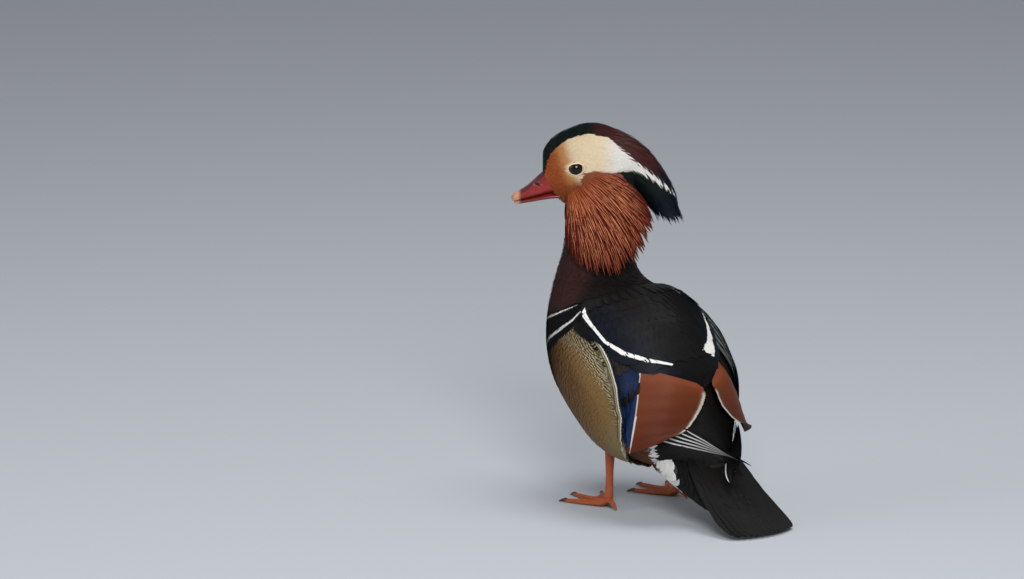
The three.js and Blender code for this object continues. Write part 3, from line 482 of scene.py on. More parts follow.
def barbs(tree, spacing):
    """The barbs of a vane: their height, and how far a place lies from the vane's shaft.

    spacing is their number along a vane. In life they are a few tenths of a millimetre apart, and
    they are drawn as coarse as they need to show.
    """
    place = node(tree, "UVMap", uv_map="Vane")
    split = node(tree, "SeparateXYZ", {0: place})
    across = node(tree, "Math", {0: split.outputs["X"], 1: 0.5}, operation="SUBTRACT")
    away = node(tree, "Math", {0: across}, operation="ABSOLUTE")
    onward = node(
        tree, "Math", {0: away, 1: -BARB_SLANT, 2: split.outputs["Y"]}, operation="MULTIPLY_ADD"
    )
    turns = node(tree, "Math", {0: onward, 1: spacing * TURN}, operation="MULTIPLY")
    return node(tree, "Math", {0: turns}, operation="SINE"), away


def keratin(tree, colour, height, relief, roughness, gloss=0.15):
    """The shader of a vane's keratin: its colour, with the height of the barbs as bump."""
    bump = node(tree, "Bump", {"Height": height, "Strength": relief, "Distance": BARB_HEIGHT})
    surface = {"Base Color": colour, "Roughness": roughness, "Specular IOR Level": gloss, "Normal": bump}
    return node(tree, "BsdfPrincipled", surface)


def feather_finish(roughness, spacing, relief, gloss=0.15, lines=(0.08, 0.92)):
    """Keratin vanes in the colour of the markings, with barbs as bump and as faint lines.

    lines says how strong the lines are, and the share of the colour that lies between them.
    """

    def finish(tree):
        colour = node(tree, "VertexColor", layer_name="Plumage")
        height, _ = barbs(tree, spacing)
        shade = node(tree, "Math", {0: height, 1: lines[0], 2: lines[1]}, operation="MULTIPLY_ADD")
        tint = node(tree, "VectorMath", {0: colour, "Scale": shade}, operation="SCALE")
        return keratin(tree, tint, height, relief, roughness, gloss)

    return finish


soft_vanes = material("soft_contour_feathers", feather_finish(0.62, spacing=9, relief=0.2))

t, a = rings_of_roots(body_point, 0.93, 0.07, NECK_STEP, row_step=2.4)
rear_edge = np.interp(t, *FLANK_REAR)
out = np.abs(a)
on_flank = (t < np.interp(out, *FLANK_FRONT) + 0.012) & (out > rear_edge - 2) & (out < 136)
under_wing = (t < 0.56) & (t > 0.22) & (out < np.minimum(rear_edge - 6, 54))
at_bars = (out > 46) & (out < 138) & (t > 0.53) & (t < 0.66)
keep = ~on_flank & ~under_wing & ~at_bars
t, a = t[keep], a[keep]
size = np.interp(t, (0.2, 0.45, 0.6, 0.75, 0.93), (1.25, 1.1, 0.9, 0.62, 0.5))
points, rows_t, rows_a, u, v = vanes(
    body_point, t, a, BREAST_LENGTH * size, BREAST_HALF * size, -COAT_DEPTH - 0.6,
    -0.6 + 0.18 * scatter(len(t)), turn=5 * scatter(len(t)), cup=0.08,
)
tip_colour = body_colour(rows_t[:, -2:-1], rows_a[:, -2:-1])[:, :, None]
tip_colour = varied(tip_colour, len(t), 0.08)
plumage_piece("breast_and_back_feathers", [(points, u, v, tip_colour)], soft_vanes, "neck_feathers")


# Shoulder: small black feathers with two white bars, which run down from the wing and taper at both ends.
# The fourth number of their colour is the distance from the nearest bar, in half widths of that bar.
def bar_distance(points):
    """Distance from the nearest white bar at the shoulder, in half widths of that bar."""
    nearest = np.full(points.shape[:-1], 1e9)
    for angles, places, halves in (FRONT_BAR, REAR_BAR):
        for side in (1, -1):
            dense = np.linspace(angles[0], angles[-1], 160)
            centres = body_point(np.interp(dense, angles, places), side * dense, -0.6)
            for centre, half in zip(centres, np.interp(dense, angles, halves)):
                nearest = np.minimum(nearest, 1000 * np.linalg.norm(points - centre, axis=-1) / half)
    return nearest


def striped_finish(stripe, edge, spacing, relief, roughness, gloss=0.15, ragged=None):
    """Vanes in the colour of the markings, with a stripe of unpigmented keratin in another colour.

    The fourth number of their colour says where a place lies beside the stripe. edge is its value
    where the stripe is whole, and where it has gone. ragged is the size in mm and the detail of a
    grain that frays the stripe's edge.
    """

    def finish(tree):
        colour = node(tree, "VertexColor", layer_name="Plumage")
        beside = colour.outputs["Alpha"]
        if ragged:
            here = node(tree, "TexCoord").outputs["Object"]
            inputs = {"Vector": here, "Scale": 1000 / ragged[0], "Detail": ragged[1]}
            grain = node(tree, "TexNoise", inputs)
            beside = node(tree, "Math", {0: grain, 1: 0.5, 2: beside}, operation="MULTIPLY_ADD")
        share = node(tree, "MapRange", {0: beside, 1: edge[0], 2: edge[1], 3: 1.0, 4: 0.0})
        height, _ = barbs(tree, spacing)
        mix = node(tree, "Mix", {0: share, 6: colour, 7: linear(stripe)}, data_type="RGBA")
        return keratin(tree, mix.outputs[2], height, relief, roughness, gloss)

    return finish


t, a = rings_of_roots(body_point, 0.685, 0.535, 1.9, 44, 140, row_step=1.8)
t, a = np.concatenate([t, t]), np.concatenate([a, -a])
keep = t > np.interp(np.abs(a), *FLANK_FRONT) + 0.004
t, a = t[keep], a[keep]
points, rows_t, rows_a, u, v = vanes(
    body_point, t, a, 5.2, 1.8, -COAT_DEPTH - 0.4, -0.6 + 0.12 * scatter(len(t)), cup=0.08,
)
tip_colour = body_colour(rows_t[:, -2:-1], rows_a[:, -2:-1])[:, :, None]
tip_colour = np.broadcast_to(varied(tip_colour, len(t), 0.08), points.shape[:-1] + (4,)).copy()
tip_colour[..., 3] = bar_distance(points)
# soft black vanes; the bars have a slightly frayed edge
barred_shoulder = striped_finish(WHITE, (1.05, 1.4), 9, relief=0.2, roughness=0.6, ragged=(1.43, 1.0))
plumage_piece(
    "shoulder_feathers", [(points, u, v, tip_colour)], material("barred_shoulder", barred_shoulder),
    "flank_feathers",
)


# Flanks: large rounded feathers of a golden brown with fine wavy black lines across them.
# The rearmost row ends in a white and a black band and lies loose over the edge of the folded wing.
FLANK_STEP = 2.2  # millimetres between roots
FLANK_LENGTH, FLANK_HALF = 10.5, 3.1
FLANK_VANE = ((0, 0.55), (0.3, 0.9), (0.6, 1), (0.8, 0.86), (0.93, 0.5), (1, 0.14))
WAVE_LENGTH = 2.0  # millimetres from line to line; in life about 1, drawn as coarse as it needs to show
WAVE_PALE = "#b3a98a"
WAVES_FOOT = 0.064  # height in metres up to which only the rear edge has lines
WAVES_LEAST = 10.0  # millimetres from the rear edge that they reach there
WAVES_REACH = 434  # millimetres that they reach for each metre over that height
PAST_WAVES = 60  # a distance from the rear edge where no line is drawn


def barred_vane(tree):
    # Golden keratin with fine wavy dark and pale lines beside the rear edge of the flank.
    # The fourth number of the colour is the distance from that edge in millimetres.
    colour = node(tree, "VertexColor", layer_name="Plumage")
    apart = colour.outputs["Alpha"]
    here = node(tree, "TexCoord").outputs["Object"]
    height_up = node(tree, "SeparateXYZ", {0: here}).outputs["Z"]
    wobble = node(tree, "TexNoise", {"Vector": here, "Scale": 1000 / 5.88, "Detail": 2.0})
    bent = node(tree, "Math", {0: wobble, 1: 2.2, 2: apart}, operation="MULTIPLY_ADD")
    phase = node(tree, "Math", {0: bent, 1: TURN / WAVE_LENGTH}, operation="MULTIPLY")
    wave = node(tree, "Math", {0: phase}, operation="SINE")
    over = node(tree, "Math", {0: height_up, 1: WAVES_FOOT}, operation="SUBTRACT")
    reach = node(tree, "Math", {0: over, 1: WAVES_REACH}, operation="MULTIPLY")
    band = node(tree, "Math", {0: reach, 1: WAVES_LEAST}, operation="MAXIMUM")
    inside = node(tree, "Math", {0: band, 1: apart}, operation="SUBTRACT")
    strength = node(tree, "MapRange", {0: inside, 1: -1.0, 2: 5.0, 3: 0.06, 4: 1.0})
    soft = {"interpolation_type": "SMOOTHSTEP"}
    dark = node(tree, "MapRange", {0: wave, 1: -0.1, 2: 0.6, 3: 0.0, 4: 0.7}, **soft)
    pale = node(tree, "MapRange", {0: wave, 1: -0.2, 2: -0.8, 3: 0.0, 4: 0.75}, **soft)
    darker = node(tree, "Math", {0: dark, 1: strength}, operation="MULTIPLY")
    shade = node(tree, "Math", {0: 1.0, 1: darker}, operation="SUBTRACT")
    tint = node(tree, "VectorMath", {0: colour, "Scale": shade}, operation="SCALE")
    paler = node(tree, "Math", {0: pale, 1: strength}, operation="MULTIPLY")
    mix = node(tree, "Mix", {0: paler, 6: tint, 7: linear(WAVE_PALE)}, data_type="RGBA")
    height, _ = barbs(tree, 16)
    return keratin(tree, mix.outputs[2], height, relief=0.1, roughness=0.55)


def flank_point(t, angle, lift):
    """The body's form, but half a feather inside the flank's rear edge."""
    return body_point(t, np.sign(angle) * np.maximum(np.abs(angle), np.interp(t, *FLANK_REAR) + 4), lift)


def flank_colour(t, angle):
    """Colour of the flank, with the distance from its rear edge in millimetres in the fourth number."""
    t = np.clip(t, 0.152, np.interp(np.abs(angle), *FLANK_FRONT) - 0.002)
    inside = np.clip(np.abs(angle), np.interp(t, *FLANK_REAR) + 1, FLANK_BOTTOM - 1)
    colour = body_colour(t, np.sign(angle) * inside)
    degree = 1000 * np.linalg.norm(body_point(t, inside + 1) - body_point(t, inside), axis=-1)
    colour[..., 3] = (inside - np.interp(t, *FLANK_REAR)) * degree
    return colour


barred = material("barred_flank_feathers", barred_vane)
t, a = rings_of_roots(body_point, 0.56, 0.12, FLANK_STEP, row_step=2.7)
rear_edge = np.interp(t, *FLANK_REAR)
before = np.interp(np.abs(a), *FLANK_FRONT) - t
keep = (before > -0.016) & (np.abs(a) > rear_edge + 1) & (np.abs(a) < FLANK_BOTTOM) & (t > 0.175)
t, a, rear_edge, before = t[keep], a[keep], rear_edge[keep], before[keep]
near_edge = between(rear_edge + 14 - np.abs(a), 0, 13)
size = 0.5 + 0.5 * between(before, 0, 0.07)
points, rows_t, rows_a, u, v = vanes(
    flank_point, t, a, FLANK_LENGTH * size, FLANK_HALF * size, -COAT_DEPTH + 0.3,
    -0.4 + 2.9 * near_edge * between(0.53 - t, 0, 0.06) + 0.05 * scatter(len(t)),
    shape=FLANK_VANE, turn=np.sign(a) * (-4 - 8 * near_edge) + 2 * scatter(len(t)), columns=4,
    cup=0.03,
)
degree = 1000 * np.linalg.norm(body_point(rows_t, rows_a + 1) - body_point(rows_t, rows_a), axis=-1)
half = FLANK_HALF * size[:, None] * [x[1] for x in FLANK_VANE] / degree
beside = rows_a[:, :, None] - v * half[:, :, None]
colours = flank_colour(rows_t[:, :, None], beside)
flank_parts = [(points, u, v, varied(colours, len(t), 0.03))]

# The edge of the flank: slender feathers laid along it, gold inside, then a white line and a black one.
EDGE_VANE = ((0, 0.5), (0.2, 0.9), (0.5, 1), (0.8, 0.9), (0.93, 0.6), (1, 0.2))
EDGE_LENGTH, EDGE_HALF = 15, 2.9
EDGE_LINES = (0.3, 0.56)  # where white and black begin on a vane, from its shaft (0) to its outer side (1)


def edge_point(t, shift, lift, side):
    """Along the flank's rear edge, shift degrees outside it."""
    return body_point(t, side * (np.interp(t, *FLANK_REAR) + shift), lift)


for side in (1, -1):
    t = np.linspace(0.45, 0.245, 38)
    size = np.interp(t, (0.2, 0.3, 0.43, 0.46), (1.1, 1.0, 0.8, 0.4))
    points, rows_t, rows_a, u, v = vanes(
        partial(edge_point, side=side), t, 1.4, EDGE_LENGTH * size, EDGE_HALF * size,
        2.6, 3.2 + 0.04 * scatter(len(t)), shape=EDGE_VANE, columns=12, cup=0.03,
    )
    colours = flank_colour(t[:, None, None], side * (np.interp(t, *FLANK_REAR) + 3)[:, None, None])
    colours = np.broadcast_to(colours, points.shape[:-1] + (4,)).copy()
    outward = -v * side
    colours[..., 3] = EDGE_HALF * np.maximum(EDGE_LINES[0] - outward, 0)
    in_white = (outward > EDGE_LINES[0]) & (outward < EDGE_LINES[1])
    colours[:, :, in_white] = linear(WHITE)[:3] + [PAST_WAVES]
    colours[:, :, outward >= EDGE_LINES[1]] = linear(BLACK)[:3] + [PAST_WAVES]
    flank_parts.append((points, u, v, colours))
plumage_piece("flank_feathers", flank_parts, barred, "flank_feathers")


# Folded wings: under the coverts each wing is one dark shell that lies on the body,
# from the middle of the back to the flank, and closes the gaps between the feathers over it.
WING = [
    # place along the body, upper and lower edge in degrees from the back, height over the body
    (0.64, 0.4, 24, 0.6),
    (0.6, 0.4, 44, 1.2),
    (0.54, 0.4, 58, 1.6),
    (0.47, 0.4, 60, 1.8),
    (0.4, 0.4, 60, 1.8),
    (0.34, 0.4, 62, 1.8),
    (0.28, 0.4, 70, 1.8),
    (0.22, 0.4, 84, 1.5),
    (0.18, 0.6, 86, 1),
]
WING_SINK, WING_SHEET = -2.8, 1.0  # its lift over the body, and its thickness
SIDES = {"left": 1, "right": -1}


def wing_point(s, c, lift, sign):
    t, upper, lower, height = along(WING, s)
    return body_point(t, sign * (upper + (lower - upper) * c), lift + height)


def closed_sheet(outer, inner):
    """A thin closed sheet from two grids of points: both faces, and the rim between them."""
    rows, columns = outer.shape[:2]
    count = rows * columns
    face = grid_faces(rows, columns)
    grid = np.arange(count).reshape(rows, columns)
    rim = np.concatenate([grid[0, :-1], grid[:-1, -1], grid[-1, :0:-1], grid[:0:-1, 0]])
    after = np.roll(rim, -1)
    edge = np.stack([rim, rim + count, after + count, after], -1)
    points = np.concatenate([outer.reshape(-1, 3), inner.reshape(-1, 3)])
    faces = np.concatenate([face, face[:, ::-1] + count, edge])
    # a sheet whose faces point inwards has a volume below nought, and is turned inside out
    a, b, c, d = (points[corner] for corner in faces.T)
    volume = np.sum(a * np.cross(b, c) + a * np.cross(c, d))
    return points, faces if volume > 0 else faces[:, ::-1]


def mottled(hex_colour, roughness, lump):
    """A dull soft surface, a little uneven in its shade; lump is the size of its lumps in millimetres."""

    def finish(tree):
        here = node(tree, "TexCoord").outputs["Object"]
        lumps = node(tree, "TexNoise", {"Vector": here, "Scale": 1000 / lump, "Detail": 3.0})
        shade = node(tree, "Math", {0: lumps, 1: 0.7, 2: 0.65}, operation="MULTIPLY_ADD")
        inputs = {0: linear(hex_colour)[:3], "Scale": shade}
        tint = node(tree, "VectorMath", inputs, operation="SCALE")
        bump = node(tree, "Bump", {"Height": lumps, "Strength": 0.2, "Distance": 0.0003})
        surface = {"Base Color": tint, "Roughness": roughness, "Specular IOR Level": 0.1, "Normal": bump}
        return node(tree, "BsdfPrincipled", surface)

    return finish


DOWN_COLOUR = "#16130f"
dark_down = material("dark_down", mottled(DOWN_COLOUR, 0.8, lump=2.5))
wing_s, wing_c = np.meshgrid(np.linspace(0, 1, 60), np.linspace(0, 1, 40), indexing="ij")
for side, sign in SIDES.items():
    sheet = (wing_point(wing_s, wing_c, WING_SINK - depth, sign) for depth in (0, WING_SHEET))
    wing_shell = mesh_piece("wing_shell_" + side, *closed_sheet(*sheet), dark_down, "wing_feathers")
    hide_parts("wing_" + side)


# Upper wing coverts: soft brown feathers between the scapulars and the flank,
# and behind them the blue secondaries, which shine green and violet.
LONG_VANE = ((0, 0.45), (0.15, 0.8), (0.4, 1), (0.7, 1), (0.86, 0.82), (0.95, 0.5), (1, 0.12))
SECONDARY_BLUE, TEAL_BLUE, BLUE_GAP = "#0d1c3c", "#123c60", "#0c0e13"
RIGHT_COVERTS_PAINTED_LIGHT, RIGHT_COVERTS_LIGHT_END = "#5b615e", 0.58  # the right wing's upper coverts up to this place: olive grey, partly their own colour and partly painted light, paler than the left wing's dark brown
COVERT_INNER = {1: 0, -1: 14}  # degrees that the right wing's reach further inwards
SAIL_FRONT = ((0.15, 0.198, 0.271, 0.326, 0.35, 0.42), (95, 79, 52, 42, 36, 24))  # where the sails begin
COVERT_START, COVERT_END = 0.55, 0.19
# keratin over black pigment, blue by the fine structure of its barbs and glossy
blue_keratin = feather_finish(0.4, 34, relief=0.3, gloss=0.1, lines=(0.12, 1.0))
iridescent = material("glossy_wing_vanes", blue_keratin)


def covert_point(s, c, lift, sign):
    """The strip between sail and flank, from the shoulder down, and from the sail (c = 0) to the flank."""
    t = COVERT_START + (COVERT_END - COVERT_START) * s
    inner = np.interp(t, *SAIL_FRONT) - COVERT_INNER[sign]
    outer = np.interp(t, *FLANK_REAR) + 5
    return body_point(t, sign * (inner + (outer - inner) * np.clip(c, 0, 1)), lift)


# tiers from the lowest up: where they start and end, number side by side, half width and colour
COVERT_TIERS = (
    (0.66, 0.97, 4, 3.0, TEAL_BLUE), (0.6, 0.9, 4, 3.4, SECONDARY_BLUE), (0.55, 0.78, 4, 3.6, BLUE_GAP),
    (0.46, 0.73, 5, 3.6, SECONDARY_BLUE), (0.36, 0.58, 5, 3.8, WING_BROWN),
    (0.29, 0.52, 6, 4.0, WING_BROWN), (0.22, 0.44, 6, 4.0, BLACK), (0.15, 0.37, 6, 4.2, BLACK),
    (0.08, 0.29, 6, 4.0, BLACK), (0.01, 0.21, 6, 3.8, BLACK),
)
for side, sign in SIDES.items():
    parts = []
    for tier, (start, end, count, half, hue) in enumerate(COVERT_TIERS):
        c = (np.arange(count) + 0.5 + 0.25 * (tier % 2)) / (count + 0.25)
        s = start + 0.008 * scatter(count)
        ends = covert_point(end, c, 0.0, sign), covert_point(start, c, 0.0, sign)
        length = 1000 * np.linalg.norm(ends[0] - ends[1], axis=-1)
        lift = 0.9 + 0.13 * tier
        points, rows_s, rows_c, u, v = vanes(
            partial(covert_point, sign=sign), s, c, length, half, lift - 0.7,
            lift + 0.3 + 0.05 * scatter(count), shape=LONG_VANE, way=1, columns=6, cup=0.05,
        )
        # painted light: the right wing's coverts are paler than the left's, for the light that falls on
        # them
        hue = RIGHT_COVERTS_PAINTED_LIGHT if sign < 0 and start < RIGHT_COVERTS_LIGHT_END else hue
        parts.append((points, u, v, varied(linear(hue), count, 0.15)))
    plumage_piece("wing_coverts_" + side, parts, iridescent, "wing_feathers")


# Scapulars: long overlapping vanes of a deep blue-black, which cover the shoulder and the back.
# A white stripe runs along the outer feathers, with a black border outside it.
SCAPULAR_START, SCAPULAR_END = 0.625, 0.241
SCAPULAR_RUN = 124  # millimetres from one to the other
SCAPULAR_EDGE = {
    # the outer tips: places along the body, and angles there
    1: ((0.241, 0.253, 0.296, 0.327, 0.365, 0.42, 0.494, 0.559, 0.6),
        (0.5, 10, 27, 43, 51, 59, 60, 59, 52)),
    -1: ((0.241, 0.27, 0.308, 0.358, 0.42, 0.494, 0.559, 0.6), (0.5, 10, 21, 27, 32, 42, 46, 44)),
}
WHITE_LINE = {
    # its middle: places along the body, angles and half widths in mm; broad low down on the right
    1: ((0.299, 0.336, 0.381, 0.434, 0.494, 0.551, 0.572), (16, 32.8, 45.8, 53.3, 54.3, 55.8, 53),
        (0.7, 1.5, 1.6, 1.1, 1.1, 1.8, 0.7)),
    -1: ((0.309, 0.318, 0.33, 0.358, 0.39, 0.421, 0.45), (9.5, 11.5, 14.5, 18.5, 21.5, 24, 26),
         (5.6, 5.2, 4.3, 2.6, 1.5, 0.8, 0.2)),
}


def scapular_point(s, c, lift, sign):
    """The scapulars' outer form: from the shoulder (s = 0) to the tips, and out from the back (c = 0)."""
    t = SCAPULAR_START + (SCAPULAR_END - SCAPULAR_START) * s
    angle = sign * (0.5 + (np.interp(t, *SCAPULAR_EDGE[sign]) - 0.5) * c)
    return body_point(t, angle, lift)


def line_distance(points, sign):
    """Distance of points from the white line along the body's surface, in half widths of the line."""
    places, angles, halves = WHITE_LINE[sign]
    dense = np.linspace(places[0], places[-1], 220)
    nearest = np.full(points.shape[:-1], 1e9)
    angle = sign * np.interp(dense, places, angles)
    centres = body_point(dense, angle, 3.5)
    outward = body_point(dense, angle, 4.5) - centres
    outward /= np.linalg.norm(outward, axis=-1, keepdims=True)
    for centre, out, half in zip(centres, outward, np.interp(dense, places, halves)):
        apart = points - centre
        apart = apart - (apart @ out)[..., None] * out
        nearest = np.minimum(nearest, 1000 * np.linalg.norm(apart, axis=-1) / half)
    beyond = (points - centres[0]) @ (centres[0] - centres[1]) > 0
    return nearest + 9 * beyond


# Black pigment under a clear glossy film, blue in the light.
striped_scapulars = striped_finish(WHITE, (1.15, 1.35), 30, 0.22, 0.45, gloss=0.12, ragged=(3.85, 2.0))
striped = material("striped_scapulars", striped_scapulars)
SCAPULAR_BLUE, SCAPULAR_BLACK = "#0a0f1a", "#0d0c0a"
# tiers from the tips up to the shoulder: where roots lie, how many side by side, length and half width
SCAPULAR_TIERS = (
    (0.6, 8, 45, 7.5), (0.52, 9, 45, 7.3), (0.44, 10, 43, 7), (0.36, 11, 40, 6.6), (0.29, 11, 36, 6.2),
    (0.22, 11, 32, 5.6), (0.16, 10, 27, 5), (0.1, 10, 22, 4.4), (0.05, 9, 17, 3.8), (0.01, 8, 13, 3.2),
)
for side, sign in SIDES.items():
    parts = []
    for tier, (start, count, length, half) in enumerate(SCAPULAR_TIERS):
        s = start + 0.012 * scatter(count)
        # the outermost vane's edge lies on the outline of the scapulars, half a vane from its middle
        middle_t = SCAPULAR_START + (SCAPULAR_END - SCAPULAR_START) * np.minimum(start + 0.2, 0.9)
        edge = np.interp(middle_t, *SCAPULAR_EDGE[sign])
        degree = 1000 * np.linalg.norm(body_point(middle_t, edge) - body_point(middle_t, edge - 1))
        inset = half / (degree * edge)
        c = (np.arange(count) + 0.5 * (tier % 2)) / (count - 0.5) * (1 - inset)
        # the last ones end in front of the sail, and lie close to the body there
        lift = 2.9 + 0.13 * tier - 0.9 * between(c, 0.75, 1) * (tier < 3)
        length = np.minimum(length, SCAPULAR_RUN * (1 - s)) - 12 * between(c, 0.6, 0.9) * (tier < 2)
        points, rows_s, rows_c, u, v = vanes(
            partial(scapular_point, sign=sign), s, c, length, half, lift - 1.5,
            lift + 0.06 * scatter(count), shape=LONG_VANE, way=1, columns=8, cup=0.03,
        )
        blue = between(rows_c, 0.3, 0.8) * between(rows_s, 0.1, 0.3)
        colours = mixed(linear(SCAPULAR_BLACK), linear(SCAPULAR_BLUE), blue)[:, :, None]
        colours = np.broadcast_to(varied(colours, count, 0.15), points.shape[:-1] + (4,)).copy()
        colours[..., 3] = np.minimum(line_distance(points, 1), line_distance(points, -1))
        parts.append((points, u, v, colours))
    plumage_piece("scapulars_" + side, parts, striped, "wing_feathers")


# Sails: the innermost flight feather of each wing, grown into a broad curved sheet that stands up.
# Its outer web is deep blue, its inner web a rich orange with a white rim, and its shaft is pale.
SAIL = [
    # from the top to the bottom: outer edge, shaft, middle of the inner web and rim
    ((-40, 43, 111.5), (-44, 41, 112), (-59, 23.5, 106.5), (-70, 1.5, 98)),
    ((-39, 47, 98), (-46, 45.5, 98), (-63, 29, 99), (-72, 5, 93)),
    ((-40, 50.5, 84), (-48, 49.5, 84), (-64, 34, 84), (-72, 11, 82)),
    ((-41, 53.5, 68), (-48, 53, 68), (-62, 41, 69), (-72, 24, 70)),
    ((-45, 55.5, 53), (-47, 55, 53), (-58, 50, 58), (-68, 42, 64)),
]
SAIL_LEAN = {1: 0, -1: 14}  # how far the top of its outer edge leans over the back
SAIL_ORANGE, SAIL_DEEP, SAIL_PAINTED_LIGHT = "#6a3119", "#50220f", "#7d4023"
SAIL_BLUE, SHAFT_PALE = "#10264b", "#cfc8bd"
SHAFT_PLACE = 0.335  # how far across the shaft runs
SAIL_GRID = (90, 60)
SAIL_THICKNESS = 0.5
WEB_BARBS = 75  # drawn as coarse as they need to show; in life there are several hundred


def sail_point(s, c, lift, sign):
    """A sail from its top (s = 0) to its bottom, from the outer edge (c = 0) to the rim."""
    s, c, lift = np.broadcast_arrays(s, c, lift)

    def place(down, across):
        rows = np.moveaxis(along(np.array(SAIL, float), down.ravel()), 0, -1).reshape(-1, 4, 3)
        share = np.clip(across.ravel(), 0, 1) * 3
        i = np.minimum(share.astype(int), 2)
        u = (share - i)[:, None]
        first, last = 2 * rows[:, :1] - rows[:, 1:2], 2 * rows[:, -1:] - rows[:, -2:-1]
        padded = np.concatenate([first, rows, last], 1)
        line = np.arange(len(i))
        before, a, b, after = (padded[line, i + k] for k in range(4))
        bend = (2 * before - 5 * a + 4 * b - after) * u * u + (3 * a - before - 3 * b + after) * u**3
        return (0.5 * (2 * a + (b - before) * u + bend)).reshape(down.shape + (3,))

    middle = place(s, c)
    step = 0.01
    down = place(np.clip(s + step, 0, 1), c) - place(np.clip(s - step, 0, 1), c)
    over = place(s, np.clip(c + step, 0, 1)) - place(s, np.clip(c - step, 0, 1))
    normal = np.cross(down, over)
    normal /= np.linalg.norm(normal, axis=-1, keepdims=True)
    middle = middle + normal * lift[..., None]
    lean = SAIL_LEAN[sign] * (1 - s) * (1 - np.clip(c, 0, 1)) ** 0.6
    return at(middle[..., 0], sign * (middle[..., 1] - lean), middle[..., 2])


def sail_web(tree):
    # Keratin of one great feather: fine barbs run from the shaft over the web, satin in the light.
    colour = node(tree, "VertexColor", layer_name="Plumage")
    place = node(tree, "UVMap", uv_map="Vane")
    split = node(tree, "SeparateXYZ", {0: place})
    inputs = {0: split.outputs["X"], 1: -0.35, 2: split.outputs["Y"]}
    bowed = node(tree, "Math", inputs, operation="MULTIPLY_ADD")
    phase = node(tree, "Math", {0: bowed, 1: TURN * WEB_BARBS}, operation="MULTIPLY")
    line = node(tree, "Math", {0: phase}, operation="SINE")
    stretched = node(tree, "VectorMath", {0: place, 1: (1.5, 26, 1)}, operation="MULTIPLY")
    patches = node(tree, "TexNoise", {"Vector": stretched, "Scale": 1.6, "Detail": 2.0})
    uneven = node(tree, "Math", {0: patches, 1: 0.16, 2: 0.92}, operation="MULTIPLY_ADD")
    shade = node(tree, "Math", {0: line, 1: 0.035, 2: uneven}, operation="MULTIPLY_ADD")
    tint = node(tree, "VectorMath", {0: colour, "Scale": shade}, operation="SCALE")
    return keratin(tree, tint, line, relief=0.15, roughness=0.5)


sail_keratin = material("sail_web", sail_web)
RIM_OUTLINE = ((0, 0.12), (0.06, 0.05), (0.3, 0), (0.75, 0), (0.93, 0.03), (1, 0.1))
down, over = np.meshgrid(
    np.linspace(0, 1, SAIL_GRID[0]), np.linspace(0, 1, SAIL_GRID[1]) ** 1.15, indexing="ij"
)
vane = np.stack([over, down], -1)
# darker towards the bottom and the rim
sail_colour = mixed(linear(SAIL_ORANGE), linear(SAIL_DEEP), between(down + 0.5 * over, 0.5, 1.3))
# painted light: the top of the inner web is paler
sail_colour = mixed(sail_colour, linear(SAIL_PAINTED_LIGHT), between(0.25 - down, 0, 0.25) * 0.6)
blue_web = (over < SHAFT_PLACE) & (down < 0.93)
sail_colour = np.where(blue_web[..., None], linear(SAIL_BLUE), sail_colour)
on_shaft = np.abs(over - SHAFT_PLACE + 0.02 * (1 - down)) < 0.012
sail_colour = np.where(on_shaft[..., None], linear(SHAFT_PALE), sail_colour)
pale_rim = between(over, 0.955, 0.99) * between(down, 0.15, 0.3) * between(0.85 - down, 0, 0.1)
sail_colour = mixed(sail_colour, linear(SHAFT_PALE), pale_rim)
for side, sign in SIDES.items():
    cut = np.interp(down, *zip(*RIM_OUTLINE))
    frayed = 0.006 * scatter((SAIL_GRID[0], 1))
    across = over * (1 - np.maximum(cut + frayed, 0))
    lifted = 0.1 * np.sin(down * 41 + over * 3)  # fine waves along the barbs
    outer = sail_point(down, across, lifted, sign)
    points, faces = closed_sheet(outer, sail_point(down, across, lifted - SAIL_THICKNESS, sign))
    chart = root_chart(outer[0:1, 20])[0] + 0.003 * (vane - 0.5)
    layers = {"Vane": np.concatenate([vane] * 2), "OFBake": np.concatenate([chart] * 2)}
    colours = np.concatenate([sail_colour] * 2)
    mesh_piece("sail_" + side, points, faces, sail_keratin, "wing_feathers", layers, colours)


# Flight feathers: behind each sail the closed primaries reach over the tail, narrow and black,
# each with a silvery white outer edge; the blue secondaries lie between sail and flank.
FLIGHT = [
    # forward, left, up, half width and roll in degrees
    (-38, 50, 74, 10, 0),
    (-55, 38, 67, 10, 0),
    (-75, 18, 59.5, 9, 20),
    (-93, -1, 50, 5, 60),
    (-106, -11, 42, 1, 65),
]
FLIGHT_UP, FLIGHT_OUT = np.array([-0.23, -0.27, 0.915]), np.array([-0.55, 0.8, 0.1])
FLIGHT_DROP = {1: -1.2, -1: 9.5}  # how much lower a wing's tip lies; the left one lies on top


def flight_point(s, c, lift, sign):
    """The closed primaries, from the wrist to the tip, across from c = −1 at the top to 1 below."""
    s, c, lift = np.broadcast_arrays(s, c, lift)
    forward, left, up, half, roll = along(FLIGHT, s)
    beyond = np.maximum(s - 1, 0) * 60
    roll = np.radians(roll)[..., None]
    across = (c * half)[..., None] * (np.cos(roll) * FLIGHT_UP + np.sin(roll) * FLIGHT_OUT)
    out = lift[..., None] * (np.cos(roll) * FLIGHT_OUT - np.sin(roll) * FLIGHT_UP)
    moved = across + out
    return at(
        forward - beyond + moved[..., 0],
        sign * (left + moved[..., 1]),
        up - FLIGHT_DROP[sign] * s + moved[..., 2],
    )


